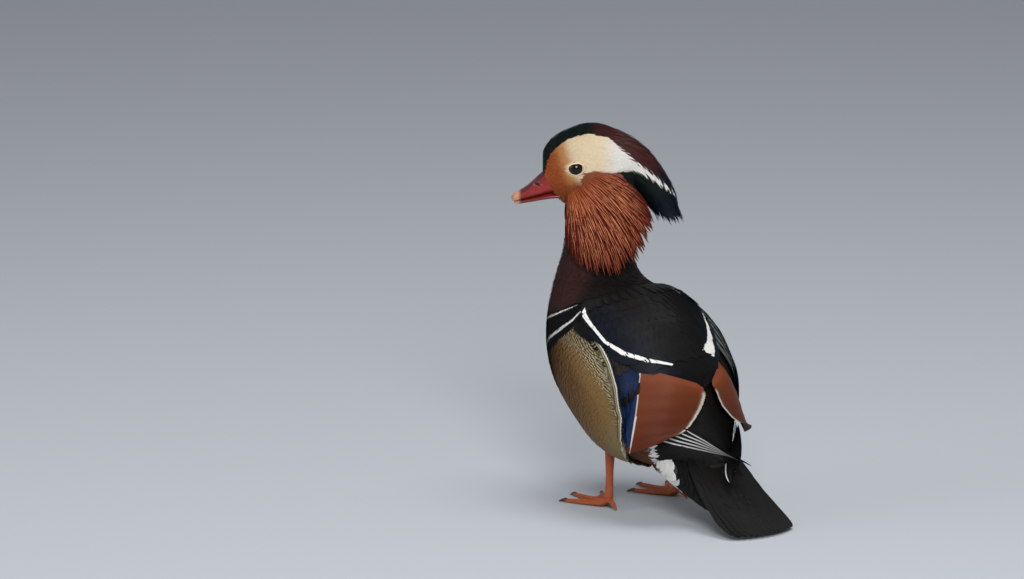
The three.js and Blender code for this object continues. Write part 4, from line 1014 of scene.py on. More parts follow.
PRIMARY_VANE = (
    (0, 0.5), (0.08, 0.8), (0.2, 1), (0.35, 1), (0.5, 1), (0.65, 0.95), (0.78, 0.85), (0.88, 0.68),
    (0.95, 0.42), (1, 0.08),
)
PRIMARIES = 5  # that show on a closed wing
PRIMARY_BLACK, PRIMARY_EDGE = "#141312", "#d9d8d4"
primary_keratin = material("primary_vanes", feather_finish(0.4, spacing=60, relief=0.2))
for side, sign in SIDES.items():
    parts = []
    # from the innermost and uppermost to the longest, which lies lowest
    for share in np.linspace(0, 1, PRIMARIES):
        points, _, _, u, v = vanes(
            partial(flight_point, sign=sign), np.array([0.43 - 0.2 * share]), 1 - 1.25 * share,
            47 + 25 * share, 3.6, 1.2 - 1.6 * share, 1.6 - 1.9 * share, shape=PRIMARY_VANE, way=1,
            columns=20, cup=0.05,
        )
        colours = np.empty(points.shape[:-1] + (4,))
        colours[...] = linear(PRIMARY_BLACK)
        outward = v[None, :] * sign
        outer_edge = (outward > 0.55) & (outward < 0.9) & (u[:, None] < 0.97)
        colours[0][outer_edge] = linear(PRIMARY_EDGE)
        parts.append((points, u, v, colours))
    plumage_piece("primaries_" + side, parts, primary_keratin, "wing_feathers")


# Tail: twelve broad black vanes in a fan, which rests on the floor, under two rows of coverts.
# The core inside them is a solid of the same form, so that no light shows between the feathers.
TAIL = [
    # forward, up, half width, half thickness and droop of the edges
    (-64, 54, 19, 8, 3),
    (-78, 41, 23, 6, 4),
    (-93, 28.5, 26, 4, 5),
    (-108, 18, 28, 2.6, 5),
    (-123, 8, 29.5, 1.6, 4),
    (-134, 2.4, 30, 1, 2),
    (-142, 0.4, 26, 0.8, 0.4),
]
VENT = [
    # the soft form under its root: forward, up, half width, half depth
    (-28, 50, 24, 14),
    (-46, 43, 29, 18),
    (-63, 35.5, 28.5, 16.5),
    (-79, 27, 27, 12.5),
    (-94, 19, 24, 7.5),
    (-106, 14, 18, 3),
]
VENT_SLOPE = math.radians(40)
TAIL_BLACK = "#0b0a09"
TAIL_FLOOR = 0.15  # the lowest height of a vane's middle


def tail_point(s, c, lift):
    """The tail's fan, from its root to the tips, with c from −1 at its left edge to 1."""
    s, c, lift = np.broadcast_arrays(s, c, lift)
    forward, up, half, _, droop = along(TAIL, s)
    onward = along(TAIL, np.minimum(s + 0.05, 1.05))
    slope = np.arctan2(onward[1] - up, onward[0] - forward)
    rise = lift * np.cos(slope)
    return at(forward + lift * np.sin(slope), c * half, np.maximum(TAIL_FLOOR, up - droop * c * c - rise))


tail_s, tail_c = np.meshgrid(np.linspace(0, 0.6, 14), np.linspace(-0.9, 0.9, 16), indexing="ij")
tail_half = along(TAIL, tail_s)[3] * (1 - 0.9 * tail_s) * np.sqrt(1 - tail_c**2)
tail_sheet = (tail_point(tail_s, tail_c, sign * tail_half) for sign in (1, -1))
tail_core = mesh_piece("tail_core", *closed_sheet(*tail_sheet), dark_down, "tail_feathers")
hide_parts("tail")

RECTRICES = 12
RECTRIX_START, RECTRIX_SPREAD = 0.08, 0.82  # where they grow, and how far out the outermost lie
RECTRIX_VANE = (
    (0, 0.45), (0.15, 0.8), (0.35, 0.96), (0.6, 1), (0.8, 0.94), (0.9, 0.75), (0.96, 0.45), (1, 0.1),
)
# tiers of tail coverts, from the hindmost: roots, number side by side, length, half width and lift
TAIL_TIERS = (
    (0.3, 13, 38, 6, 2.2), (0.22, 13, 36, 6, 3.4), (0.14, 12, 34, 6, 4.8), (0.07, 11, 32, 5.8, 6.0),
    (0.0, 10, 30, 5.6, 7.2),
)
tail_keratin = material("tail_vanes", feather_finish(0.5, spacing=50, relief=0.3))
c = np.linspace(-1, 1, RECTRICES)
fan = np.abs(c)
c = c * RECTRIX_SPREAD
step = 0.01
reach = tail_point(RECTRIX_START + step, c, 0) - tail_point(RECTRIX_START, c, 0)
reach = 1000 * np.linalg.norm(reach, axis=-1) / step
points, _, _, u, v = vanes(
    tail_point, np.full(RECTRICES, RECTRIX_START), c, (0.79 - 0.1 * fan**2) * reach, 7.2, 1.2 - 1.1 * fan,
    1.5 - 1.2 * fan, shape=RECTRIX_VANE, way=1, columns=6, cup=0.08,
)
tail_parts = [(points, u, v, varied(linear(TAIL_BLACK), RECTRICES, 0.2))]
for start, count, length, half, lift in TAIL_TIERS:
    c = (np.arange(count) + 0.5) / count * 2 - 1
    s = np.maximum(start + 0.03 * scatter(count), 0.01)
    length = length * (1 + 0.1 * scatter(count))
    points, _, _, u, v = vanes(
        tail_point, s, c * 0.9, length, half, lift * (1.1 - 0.7 * np.abs(c)),
        lift * 0.45 * (1.1 - 0.6 * np.abs(c)), shape=LONG_VANE, way=1, columns=4,
        turn=3 * scatter(count),
    )
    tail_parts.append((points, u, v, varied(linear(TAIL_BLACK), count, 0.15)))
plumage_piece("tail_feathers", tail_parts, tail_keratin, "tail_feathers")


# Under tail coverts: soft full feathers on the form under the tail's root,
# brown at the flank, then white, and black from the middle of the tail on.
def vent_point(s, angle, lift):
    """The form under the tail, from the belly back, with the angle from its top round to the left."""
    s, angle, lift = np.broadcast_arrays(s, np.radians(angle), lift)
    forward, up, half, depth = along(VENT, s)
    rise = (depth + lift) * np.cos(angle)
    return at(
        forward - math.sin(VENT_SLOPE) * rise, (half + lift) * np.sin(angle),
        up + math.cos(VENT_SLOPE) * rise,
    )


VENT_GRID = (30, 48)
vent_core = vent_point(*ring_grid(0, 1, *VENT_GRID), -1.6)
mesh_piece("vent_core", vent_core, grid_faces(*VENT_GRID, True), dark_down, "tail_feathers")
s, c = rings_of_roots(vent_point, 0.0, 0.93, 3.4, 60, 300, row_step=3.2)
c = np.where(c > 180, c - 360, c)
size = np.interp(s, (0, 0.4, 1), (0.9, 1.15, 0.9))
points, rows_s, rows_c, u, v = vanes(
    vent_point, s, c, 13 * size, 3.4 * size, -1.8, 0.1 + 0.25 * scatter(len(s)),
    way=1, turn=5 * scatter(len(s)), cup=0.1, columns=4,
)
back = aslant(points[:, 2:3, 2]) + scatter((len(s), 1))
colours = mixed(linear(VENT_BROWN), linear(WHITE), between(back, VENT_WHITE[0], VENT_WHITE[0] + 2))
colours = mixed(colours, linear(TAIL_BLACK), between(back, VENT_WHITE[1], VENT_WHITE[1] + 2))[:, :, None]
colours = varied(colours, len(s), 0.06)
plumage_piece("under_tail_feathers", [(points, u, v, colours)], soft_vanes, "tail_feathers")


# Coat of the face and crown: the smallest feathers of the bird, velvety and lying back from the bill.
# Each takes the colour of its own place, so that the edges of the markings are a little ragged.
FACE_STEP = 0.85  # millimetres between roots
FACE_LENGTH, FACE_HALF = 3.2, 0.5
FACE_VANE = ((0, 0.7), (0.45, 1), (0.8, 0.7), (1, 0.12))
velvet = material("velvety_face_feathers", feather_finish(0.7, spacing=3, relief=0.15))
t, a = rings_of_roots(head_point, 0.985, 0.04, FACE_STEP, row_step=1.0, jitter=0.5)
p, q, r = head_place(t, a)
eye_gap = np.hypot((p - EYE_PLACE[0]) / 6.3, (r - EYE_PLACE[1]) / 4.6)
under_bill = (p > 24) & (np.abs(q) < 9.5) & (r < 1) & (r > -19.5)
keep = (eye_gap > 1) & ~under_bill & ~((r < -22) & (p < 12))
t, a, p, r = t[keep], a[keep], p[keep], r[keep]
size = np.interp(p, (-30, 5, 30), (1.5, 1.05, 0.7))
points, rows_t, rows_a, u, v = vanes(
    head_point, t, a, FACE_LENGTH * size, FACE_HALF * size, -HEAD_COAT,
    0.1 * scatter(len(t)) - 0.1, shape=FACE_VANE, turn=9 * scatter(len(t)),
    columns=1, cup=0,
)
tip_p, _, tip_r = head_place(rows_t[:, 2:3], rows_a[:, 2:3])
colours = head_colour(tip_p, tip_r)[:, :, None]
plumage_piece("face_feathers", [(points, u, v, varied(colours, len(t), 0.06))], velvet, "head_feathers")


# Crest: long narrow feathers from crown and nape, held together in one drooping brush.
# It is maroon above, blue-black at the tip, with the white stripe of the face along it and green below.
CREST = [
    # along the bill, up, slope in degrees, half height, half width
    (6, 14, 0, 21, 14),
    (-13, 13, -18, 18.5, 15),
    (-28, 6, -34, 16, 13),
    (-38, -3, -44, 14, 10.5),
    (-45.5, -13, -54, 12.3, 8),
    (-50.5, -21, -63, 11, 5.5),
    (-54, -29.5, -70, 9, 3),
]
STRIPE_SPAN = (0, 0.17, 0.33, 0.5, 0.67, 0.83, 0.92)
STRIPE_TOP = (62, 59, 75, 68, 48, 24, 8)  # angles of the stripe's edges round the crest, from its top
STRIPE_FOOT = (130, 126, 105, 84, 61, 32, 12)
HACKLE = ((0, 0.45), (0.25, 0.85), (0.5, 1), (0.72, 0.8), (0.9, 0.4), (1, 0.06))


def crest_point(s, c, lift):
    """The crest from the crown (s = 0) to its tip, with c in degrees from its top round to the left."""
    p, r, slope, half_height, half_width = along(CREST, s)
    beyond = np.maximum(np.asarray(s) - 1, 0) * 75
    slope, c = np.radians(slope), np.radians(c)
    rise = (half_height + lift) * np.cos(c)
    return head_at(
        p + rise * np.sin(slope) - 0.42 * beyond, (half_width + lift) * np.sin(c),
        r + rise * np.cos(slope) - 0.9 * beyond,
    )


def crest_colour(s, c):
    """Colour of the crest; the fourth number is how many degrees inside the white stripe a place lies."""
    s, c = np.broadcast_arrays(s, np.abs((np.asarray(c) + 180) % 360 - 180))
    above = mixed(linear(GREEN_BLACK), linear(CREST_MAROON), between(s, 0.02, 0.12))
    above = mixed(above, linear(BLUE_BLACK), between(s, 0.42, 0.66))
    below = mixed(linear(LOWER_GREEN), linear(BLUE_BLACK), between(s, 0.6, 0.9))
    top, foot = np.interp(s, STRIPE_SPAN, STRIPE_TOP), np.interp(s, STRIPE_SPAN, STRIPE_FOOT)
    colour = np.where((c > 0.5 * (top + foot))[..., None], below, above)
    colour[..., 3] = np.minimum(np.minimum(c - top, foot - c), 400 * (0.95 - s))
    return colour


CREST_GRID = (30, 40)
CREST_RUN = 80  # millimetres from its start to its tip
CREST_HALF = 1.3  # half width of its feathers
# painted shade: the core under the crest takes the feathers' colours, darker
CREST_CORE_PAINTED_SHADE = 0.7
crest_s, crest_c = ring_grid(0, 0.97, *CREST_GRID)
crest_core = crest_point(crest_s, crest_c, -1.6 - 3 * between(crest_s, 0.7, 1))
core_colours = crest_colour(crest_s, crest_c).reshape(-1, 4)
core_colours[core_colours[:, 3] > 0] = linear(STRIPE_WHITE)
core_colours[:, :3] *= CREST_CORE_PAINTED_SHADE
mesh_piece(
    "crest_core", crest_core, grid_faces(*CREST_GRID, True), material("crest_under_feathers", bare_skin),
    "head_feathers", None, core_colours,
)
s, c = rings_of_roots(crest_point, 0.0, 0.82, 1.7, row_step=3.0, jitter=0.4)
keep = ~((s < 0.14) & (np.abs(c) > 100))
s, c = s[keep], c[keep]
length = np.interp(s, (0, 0.3, 0.8), (13, 24, 22)) * (1 + 0.12 * scatter(len(s)))
ends = 1.04 - 0.14 * between(np.abs(c), 60, 150) + 0.04 * scatter(len(s))
length = np.minimum(length, (ends - s) * CREST_RUN)
tip_lift = np.interp(s, (0, 0.15, 0.5, 0.8), (0, 0.2, 0.4, 0)) + 0.25 * scatter(len(s))
points, rows_s, rows_c, u, v = vanes(
    crest_point, s, c, length, np.interp(s, (0, 0.3, 0.8), (0.9, 1.2, 0.9)), -2.2, tip_lift,
    shape=HACKLE, way=1, turn=2 * scatter(len(s)), columns=2, cup=0.2,
)
# The angle of a vane's edges, for the stripe: its half width over the crest's radius there.
_, _, _, half_height, half_width = along(CREST, rows_s)
spread = np.degrees(CREST_HALF * np.array([x[1] for x in HACKLE]) / (0.5 * (half_height + half_width)))
colours = crest_colour(rows_s[:, :, None], rows_c[:, :, None] - spread[:, :, None] * v)
# silky keratin over dark pigment, which the stripe hasn't
silky_crest = striped_finish(STRIPE_WHITE, (1.5, -1.5), 20, relief=0.2, roughness=0.42)
plumage_piece(
    "crest_feathers", [(points, u, v, varied(colours, len(s), 0.12))],
    material("silky_crest_feathers", silky_crest), "head_feathers",
)


# Ruff: long stiff hackles, which fan out from behind the bill over the cheeks and down the neck.
# Each is chestnut with a pale shaft; under them lies a core of the same form.
RUFF = [
    # up, middle along the bill, half length, half width of the form that it lies on
    (8, -5, 24, 17),
    (-6, -8, 28, 20.5),
    (-20, -11, 33, 26),
    (-34, -12, 36, 29),
    (-48, -12, 34, 31),
    (-62, -12, 28, 31.5),
    (-76, -12, 20, 31),
]
RUFF_FROM = (10.8, -5.8)  # where its locks fan out from: along the bill, up
RUFF_REACH = (42, 56, 64, 69, 70.5, 67.5, 61, 51, 43)  # from its front round to its back
RUFF_SPAN = (-80, -172)  # directions of its first and last lock, in degrees
RUFF_ROOTS = (
    # where its lanes start, from the corner of the bill to below the stripe: along the bill, up, bow
    (17.5, -16, 0.0),
    (14, -11, 0.06),
    (9, -5, 0.13),
    (2, 0.5, 0.16),
    (-9, 3, 0.1),
)
RUFF_SHIFT = -3  # how far the neck under it stands to the head's right
NECK_SAMPLES = along(BODY, np.linspace(0.6, 1, 200))


def clear_of_neck(points, clearance):
    """Moves points out from the neck's axis until they are clear of the neck's skin."""
    past = 1.03
    x, y, z = np.moveaxis(points, -1, 0) * 1000
    forward, width, above, below = (np.interp(z, NECK_SAMPLES[1], NECK_SAMPLES[i]) for i in (0, 3, 4, 5))
    y = y - MIDDLE + forward
    depth = np.where(y > 0, above, below) + clearance
    reach = np.hypot(x / (width + clearance), y / depth)
    grow = np.where((reach > past) | (z > HEAD_PLACE[2]), 1, past / np.maximum(reach, 1e-6))
    return np.stack([x * grow, y * grow + MIDDLE - forward, z], -1) / 1000


def head_side(p, r):
    """Half the head's width at a place seen from its side."""
    rows = along(HEAD, np.linspace(0, 1, 200))
    middle, width, above, below = (np.interp(p, rows[0], rows[i]) for i in (1, 2, 3, 4))
    rise = (r - middle) / np.where(r > middle, above, below)
    return width * np.sqrt(np.clip(1 - rise * rise, 0, 1))


def ruff_place(s, c):
    """Places on a lane of the ruff, seen from the head's side: along the bill, up."""
    root_p, root_r, bow = along(RUFF_ROOTS, c)
    way, reach = np.radians(RUFF_SPAN[0] + (RUFF_SPAN[1] - RUFF_SPAN[0]) * c), along(RUFF_REACH, c)[0]
    tip_p, tip_r = RUFF_FROM[0] + reach * np.cos(way), RUFF_FROM[1] + reach * np.sin(way)
    bend_p = 0.5 * (root_p + tip_p) + bow * (tip_r - root_r)
    bend_r = 0.5 * (root_r + tip_r) - bow * (tip_p - root_p)
    a, b, d = (1 - s) ** 2, 2 * s * (1 - s), s * s  # shares of a curve from root over bend to tip
    return a * root_p + b * bend_p + d * tip_p, a * root_r + b * bend_r + d * tip_r


def ruff_point(s, c, lift, side):
    """One side of the ruff: out from behind the bill (s), and from its front (c = 0) to its back."""
    s, c, lift = np.broadcast_arrays(s, c, lift)
    p, r = ruff_place(s, c)
    t = (RUFF[0][0] - r) / (RUFF[0][0] - RUFF[-1][0])
    _, middle, length, width = along(RUFF, t)
    x = np.minimum(np.abs((p - middle) / length), 0.97)
    form = np.maximum(width * (1 - x**3) ** (1 / 2.4), head_side(p, r))
    q = RUFF_SHIFT * np.clip(t, 0, 1) + side * (form + lift)
    return clear_of_neck(head_at(p, q, r), 1.6 + np.maximum(0, lift))


def hackle_vane(tree):
    # Stiff hackle: chestnut web, with painted shade darkening it towards its edges where the locks lie over
    # one another, and a pale shaft along its middle.
    colour = node(tree, "VertexColor", layer_name="Plumage")
    height, away = barbs(tree, 30)
    shaft = node(tree, "MapRange", {0: away, 1: 0.03, 2: 0.13, 3: 1.0, 4: 0.0})
    strength = node(tree, "Math", {0: shaft, 1: colour.outputs["Alpha"]}, operation="MULTIPLY")
    # painted shade towards the edges of the web
    edge = node(tree, "MapRange", {0: away, 1: 0.2, 2: 0.5, 3: 1.0, 4: 0.5})
    web = node(tree, "VectorMath", {0: colour, "Scale": edge}, operation="SCALE")
    mix = node(tree, "Mix", {0: strength, 6: web, 7: linear(HACKLE_SHAFT)}, data_type="RGBA")
    return keratin(tree, mix.outputs[2], height, relief=0.2, roughness=0.48, gloss=0.1)


HACKLE_SHAFT, RUFF_TOP, RUFF_MIDDLE, RUFF_LOW = "#e08d62", "#7c3215", "#5f1c0a", "#531407"
# tiers from below to the cheek: roots, tips, how many a side, half width, lift of the tips
RUFF_TIERS = (
    (0.34, 1.0, 58, 1.7, 0.2), (0.28, 0.95, 56, 1.6, 0.5), (0.22, 0.86, 56, 1.5, 0.8),
    (0.17, 0.76, 52, 1.4, 1.0), (0.13, 0.66, 48, 1.3, 1.2), (0.09, 0.56, 46, 1.2, 1.3),
    (0.05, 0.46, 44, 1.1, 1.4), (0.02, 0.36, 42, 0.95, 1.4), (-0.02, 0.27, 40, 0.85, 1.3),
    (-0.05, 0.18, 38, 0.75, 1.0),
)
LOCK_VANE = (
    (0, 0.5), (0.1, 0.62), (0.25, 0.85), (0.45, 1), (0.65, 0.95), (0.8, 0.7), (0.92, 0.34), (1, 0.04),
)
stiff = material("stiff_ruff_hackles", hackle_vane)
ruff_parts, ruff_cores = [], []
RUFF_CORE_COLOUR = "#4a1c10"
RUFF_GRID = (30, 40)
core_s, core_c = np.meshgrid(
    np.linspace(0.06, 0.8, RUFF_GRID[0]), np.linspace(0, 1, RUFF_GRID[1]), indexing="ij"
)
for side in (1, -1):
    for start, end, count, half, lift in RUFF_TIERS:
        c = (np.arange(count) + 0.5) / count + 0.4 / count * scatter(count)
        reach = along(RUFF_REACH, c)[0]
        s = start + 0.02 * scatter(count)
        length = reach * (end - s) * (1 + 0.05 * scatter(count))
        points, rows_s, rows_c, u, v = vanes(
            partial(ruff_point, side=side), s, c, length, half,
            np.interp(start, (0, 0.3), (-1.2, -2.5)), lift + 0.35 * scatter(count),
            shape=LOCK_VANE, way=1, turn=3 * scatter(count), columns=2, cup=0.35,
        )
        colours = mixed(linear(RUFF_TOP), linear(RUFF_MIDDLE), between(rows_s, 0.1, 0.45))
        colours = mixed(colours, linear(RUFF_LOW), between(rows_s, 0.55, 1))
        front = between(0.5 - rows_c, 0, 0.4) * between(0.35 - rows_s, 0, 0.3)
        colours = mixed(colours, linear(LORE), front * 0.6)
        colours[..., 3] = between(rows_s, 0.02, 0.2) * (0.95 - 0.6 * between(rows_s, 0.6, 1.0))
        colours = varied(colours[:, :, None], count, 0.16)
        ruff_parts.append((points, u, v, colours))
    ruff_cores.append(ruff_point(core_s, core_c, -3.0 + 1.5 * core_s, side).reshape(-1, 3))
plumage_piece("ruff_hackles", ruff_parts, stiff, "neck_feathers")
core_points = np.concatenate(ruff_cores)
core_colours = np.broadcast_to(linear(RUFF_CORE_COLOUR), (len(core_points), 4))
core_faces = grid_faces(*RUFF_GRID)
core_faces = np.concatenate([core_faces[:, ::-1], core_faces + core_s.size])
ruff_skin = material("ruff_skin", bare_skin)
mesh_piece("ruff_core", core_points, core_faces, ruff_skin, "neck_feathers", None, core_colours)


# Eyes: dark brown, almost black, wet and very glossy. Each is a ball set into its socket,
# of the solid's own size, with iris and pupil round the line that it looks along.
EYE_PUPIL, EYE_IRIS = "#040303", "#26110a"
PUPIL_EDGE, IRIS_EDGE = 0.42, 0.78  # from the eye's middle, as shares of its radius


def wet_eye(tree):
    # Cornea over a dark brown iris, with a black pupil in its middle.
    colour = node(tree, "VertexColor", layer_name="Plumage")
    here = node(tree, "TexCoord").outputs["Object"]
    fibres = node(tree, "TexNoise", {"Vector": here, "Scale": 1000 / 1.11, "Detail": 2.0})
    shade = node(tree, "Math", {0: fibres, 1: 0.8, 2: 0.6}, operation="MULTIPLY_ADD")
    tint = node(tree, "VectorMath", {0: colour, "Scale": shade}, operation="SCALE")
    surface = {"Base Color": tint, "Roughness": 0.06, "Specular IOR Level": 0.35}
    return node(tree, "BsdfPrincipled", surface)


cornea = material("wet_dark_eye", wet_eye)
for side, sign in SIDES.items():
    centre = head_at(EYE_PLACE[0], sign * EYE_PLACE[2], EYE_PLACE[1])
    bpy.ops.mesh.primitive_uv_sphere_add(
        segments=48, ring_count=24, radius=EYE_RADIUS / 1000, location=[float(x) for x in centre]
    )
    eye = bpy.context.object
    bpy.ops.object.transform_apply(location=True, rotation=True, scale=True)
    bpy.ops.object.shade_smooth()
    eye.name = "eye_ball_" + side
    out = head_at(0.0, sign, 0.0) - head_at(0.0, 0.0, 0.0)
    apart = np.array([vertex.co for vertex in eye.data.vertices]) - np.ravel(centre)
    apart = 1000 * np.linalg.norm(np.cross(apart, out / np.linalg.norm(out)), axis=-1) / EYE_RADIUS
    on_iris = between(apart, PUPIL_EDGE, PUPIL_EDGE + 0.06) * between(IRIS_EDGE - apart, 0, 0.1)
    iris = mixed(linear(EYE_PUPIL), linear(EYE_IRIS), on_iris)
    layer = eye.data.color_attributes.new("Plumage", "FLOAT_COLOR", "POINT")
    layer.data.foreach_set("color", iris.astype(np.float32).ravel())
    eye.data.materials.append(cornea)
    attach(eye, "root")
    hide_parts("eye_" + side)


# Lids: a pale roll of bare skin round each eye, which lies over the edge of the ball
# and closes the gap to the feathers of the face.
LID_COLOUR = "#dcc6a6"
LID_OPENING, LID_FOOT = (5.3, 3.9), (6.4, 5.0)  # half length and half height
# from the opening's edge inside the socket, over the roll, to the feathers round it: share and lift
LID_ROLL = ((-0.05, -1.4), (0.0, -0.1), (0.12, 0.35), (0.3, 0.5), (0.55, 0.4), (0.8, 0.1), (1.1, -0.8))
LID_POINTS = 64
pale_skin = material("pale_lid_skin", mottled(LID_COLOUR, 0.55, lump=1.11))
for side, sign in SIDES.items():
    around = np.radians(np.linspace(0, 360, LID_POINTS, endpoint=False))
    rows = []
    for share, lift in LID_ROLL:
        half_length = LID_OPENING[0] + (LID_FOOT[0] - LID_OPENING[0]) * share
        half_height = LID_OPENING[1] + (LID_FOOT[1] - LID_OPENING[1]) * share
        p = EYE_PLACE[0] + half_length * np.cos(around)
        r = EYE_PLACE[1] + half_height * np.sin(around) - 0.8 * np.cos(around) * (np.cos(around) < 0)
        ball = np.hypot(p - EYE_PLACE[0], r - EYE_PLACE[1])
        out_of_ball = EYE_PLACE[2] + np.sqrt(np.maximum(EYE_RADIUS**2 - ball**2, 0))
        q = np.maximum(head_side(p, r), out_of_ball) + lift
        rows.append(head_at(p, sign * q, r))
    faces = grid_faces(len(rows), LID_POINTS, True)
    faces = faces if sign > 0 else faces[:, ::-1]
    mesh_piece("lids_" + side, np.array(rows), faces, pale_skin, "head_feathers")


# Bill: two horny halves, deep red with a pale nail at the tip, joined to the face by a clean edge.
# The upper one has an oval nostril on either side and laps over the lower one.
UPPER_BILL = [
    # along, top, mouth, half width
    (20, 2, -15.5, 9.5),
    (30, 3, -15.4, 9),
    (37, -1.5, -17.2, 8),
    (42.5, -6.8, -18.3, 7.2),
    (47.5, -11, -19.4, 6.7),
    (52, -13.8, -20.5, 6.4),
    (55.5, -15.6, -21.4, 5.4),
    (58, -18, -21.2, 2.6),
]
LOWER_BILL = [
    # along, mouth, underside, half width
    (20, -15.0, -19, 7.5),
    (30, -15.0, -19.6, 7.2),
    (40, -17.2, -21.3, 6.4),
    (48, -18.8, -22.7, 5.7),
    (53, -20, -23.6, 4.9),
    (56.2, -20.7, -23.4, 3),
]
BILL_RED, BILL_PAINTED_SHADE, BILL_RIDGE_SHADE, NAIL_PALE = "#90201c", "#5c1413", "#3f1414", "#bb866b"
NOSTRIL_SHADE = "#1d0b0a"
BILL_GRID = (90, 96)
NOSTRIL = (39.5, -8.4, 2.2, 1.0)  # along, up, half length, half height


def bill_place(table, s, angle, lift=0.0):
    """A half of the bill in the head's directions: from the face (s = 0) to the tip, and round it."""
    p, top, foot, width = along(table, s)
    angle = np.radians(angle)
    middle = foot + 0.3 * (top - foot)
    half = np.where(np.cos(angle) > 0, top - middle, middle - foot)
    rise = np.sign(np.cos(angle)) * np.abs(np.cos(angle)) ** 0.8
    return p, (width + lift) * np.sin(angle), middle + (half + lift) * rise


def horn(tree):
    # Smooth waxy horn with faint lengthwise grain; the colour comes from the markings.
    colour = node(tree, "VertexColor", layer_name="Plumage")
    here = node(tree, "TexCoord").outputs["Object"]
    grain = node(tree, "TexNoise", {"Vector": here, "Scale": 1000 / 2.86, "Detail": 3.0})
    shade = node(tree, "Math", {0: grain, 1: 0.5, 2: 0.75}, operation="MULTIPLY_ADD")
    tint = node(tree, "VectorMath", {0: colour, "Scale": shade}, operation="SCALE")
    bump = node(tree, "Bump", {"Height": grain, "Strength": 0.12, "Distance": 0.0003})
    return node(tree, "BsdfPrincipled", {
        "Base Color": tint, "Roughness": 0.34, "Specular IOR Level": 0.5, "Coat Weight": 0.15,
        "Normal": bump, "Subsurface Weight": 0.05, "Subsurface Radius": (0.002, 0.0006, 0.0004),
    })


waxy_horn = material("waxy_red_horn", horn)
s, angle = ring_grid(0, 1, *BILL_GRID)
for half, table in (("upper", UPPER_BILL), ("lower", LOWER_BILL)):
    upper = half == "upper"
    p, q, r = bill_place(table, s, angle)
    # rounded tip
    closing = between(s, 0.965, 1.0)
    middle_r = r.mean(1, keepdims=True)
    q, r = q * (1 - 0.55 * closing), middle_r + (r - middle_r) * (1 - 0.45 * closing)
    # nostril, as a hollow with a raised edge, and the rim along the mouth; only the upper half has them
    hollow = (p - NOSTRIL[0] - 0.9 * (r - NOSTRIL[1])) / NOSTRIL[2]
    hollow = np.hypot(hollow, (r - NOSTRIL[1]) / NOSTRIL[3])
    rim_of_mouth = between(np.abs(angle), 112, 122) * between(140 - np.abs(angle), 0, 12)
    relief = (
        -1.3 * between(1.25 - hollow, 0, 0.5) + 0.35 * between(1.9 - hollow, 0, 0.5) * (hollow > 1.15)
        + 0.3 * rim_of_mouth * between(s, 0.25, 0.5)
    )
    q = q + upper * np.sign(q) * relief
    # painted shade: the top of the upper half is made darker
    ridge_shade = between(np.cos(np.radians(angle)), 0.15, 0.85)
    # painted shade: darker the lower a place lies
    colour = mixed(linear(BILL_RED), linear(BILL_PAINTED_SHADE), between(-r, 12, 21) * 0.8)
    colour = mixed(colour, linear(BILL_RIDGE_SHADE), upper * 0.85 * ridge_shade)
    colour = mixed(colour, linear(NAIL_PALE), between(p, 50.5, 53.5))
    # painted shade in the nostril's hollow
    colour = mixed(colour, linear(NOSTRIL_SHADE), upper * between(1.1 - hollow, 0, 0.3))
    # painted shade: darker at the base, where the bill meets the face
    colour = mixed(colour, linear(BILL_PAINTED_SHADE), between(31.5 - p, 0, 4) * 0.6)
    faces = grid_faces(*BILL_GRID, True)
    piece = mesh_piece(half + "_bill", head_at(p, q, r), faces, waxy_horn, "bill", None, colour)
    close_ends(piece)
    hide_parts("bill_" + half)


# Legs and feet: scaly orange skin over slim bones, with webs between the three front toes.
# The solids are shown as they are, under a skin of small plates.
FOOT_ORANGE, FOOT_DARK = "#b85a2c", "#8a4122"
SKIN_PLATE = 0.8  # millimetres


def scaly_skin(tree):
    # Leathery orange skin in small plates, with darker creases between them.
    here = node(tree, "TexCoord").outputs["Object"]
    inputs = {"Vector": here, "Scale": 1000 / SKIN_PLATE}
    plates = node(tree, "TexVoronoi", inputs, feature="DISTANCE_TO_EDGE")
    crease = node(tree, "MapRange", {0: plates, 1: 0.0, 2: 0.22, 3: 0.0, 4: 1.0})
    inputs = {0: crease, 6: linear(FOOT_DARK), 7: linear(FOOT_ORANGE)}
    mix = node(tree, "Mix", inputs, data_type="RGBA")
    bump = node(tree, "Bump", {"Height": crease, "Strength": 0.5, "Distance": 0.0003})
    return node(tree, "BsdfPrincipled", {
        "Base Color": mix.outputs[2], "Roughness": 0.5, "Specular IOR Level": 0.4, "Normal": bump,
        "Subsurface Weight": 0.08, "Subsurface Radius": (0.003, 0.001, 0.0005),
    })


leg_skin = material("scaly_orange_skin", scaly_skin)
for name in ("foot_left", "foot_right", "leg_left", "leg_right"):
    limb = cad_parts[name]
    limb.data.materials.clear()
    limb.data.materials.append(leg_skin)


# Claws: short curved brown-black horn at the end of each toe, over the blunter claw of the solid.
# Each is a row of rings along its toe's line, which narrow to a point and curve down.
FEET = {"left": (5, 30, -6), "right": (-2, -30, -2)}  # forward and left of the ankle, and the foot's way
TOES = ((27, 36), (0, 44), (-27, 40))  # turn from that way, and length
CLAW = (
    # past the toe's end, height of its middle, radius
    (-1.2, 2.15, 1.45), (0.3, 2.05, 1.3), (1.8, 1.7, 1.05), (3.4, 1.15, 0.75), (4.7, 0.6, 0.42),
    (5.0, 0.45, 0.03),
)
CLAW_POINTS = 16
CLAW_BLACK, CLAW_BROWN = "#1d120c", "#4a3020"


def claw_horn(tree):
    # Brown-black horn with fine grain.
    here = node(tree, "TexCoord").outputs["Object"]
    grain = node(tree, "TexNoise", {"Vector": here, "Scale": 1000 / 1.11, "Detail": 2.0})
    inputs = {0: grain, 6: linear(CLAW_BLACK), 7: linear(CLAW_BROWN)}
    mix = node(tree, "Mix", inputs, data_type="RGBA")
    surface = {"Base Color": mix.outputs[2], "Roughness": 0.35, "Specular IOR Level": 0.4}
    return node(tree, "BsdfPrincipled", surface)


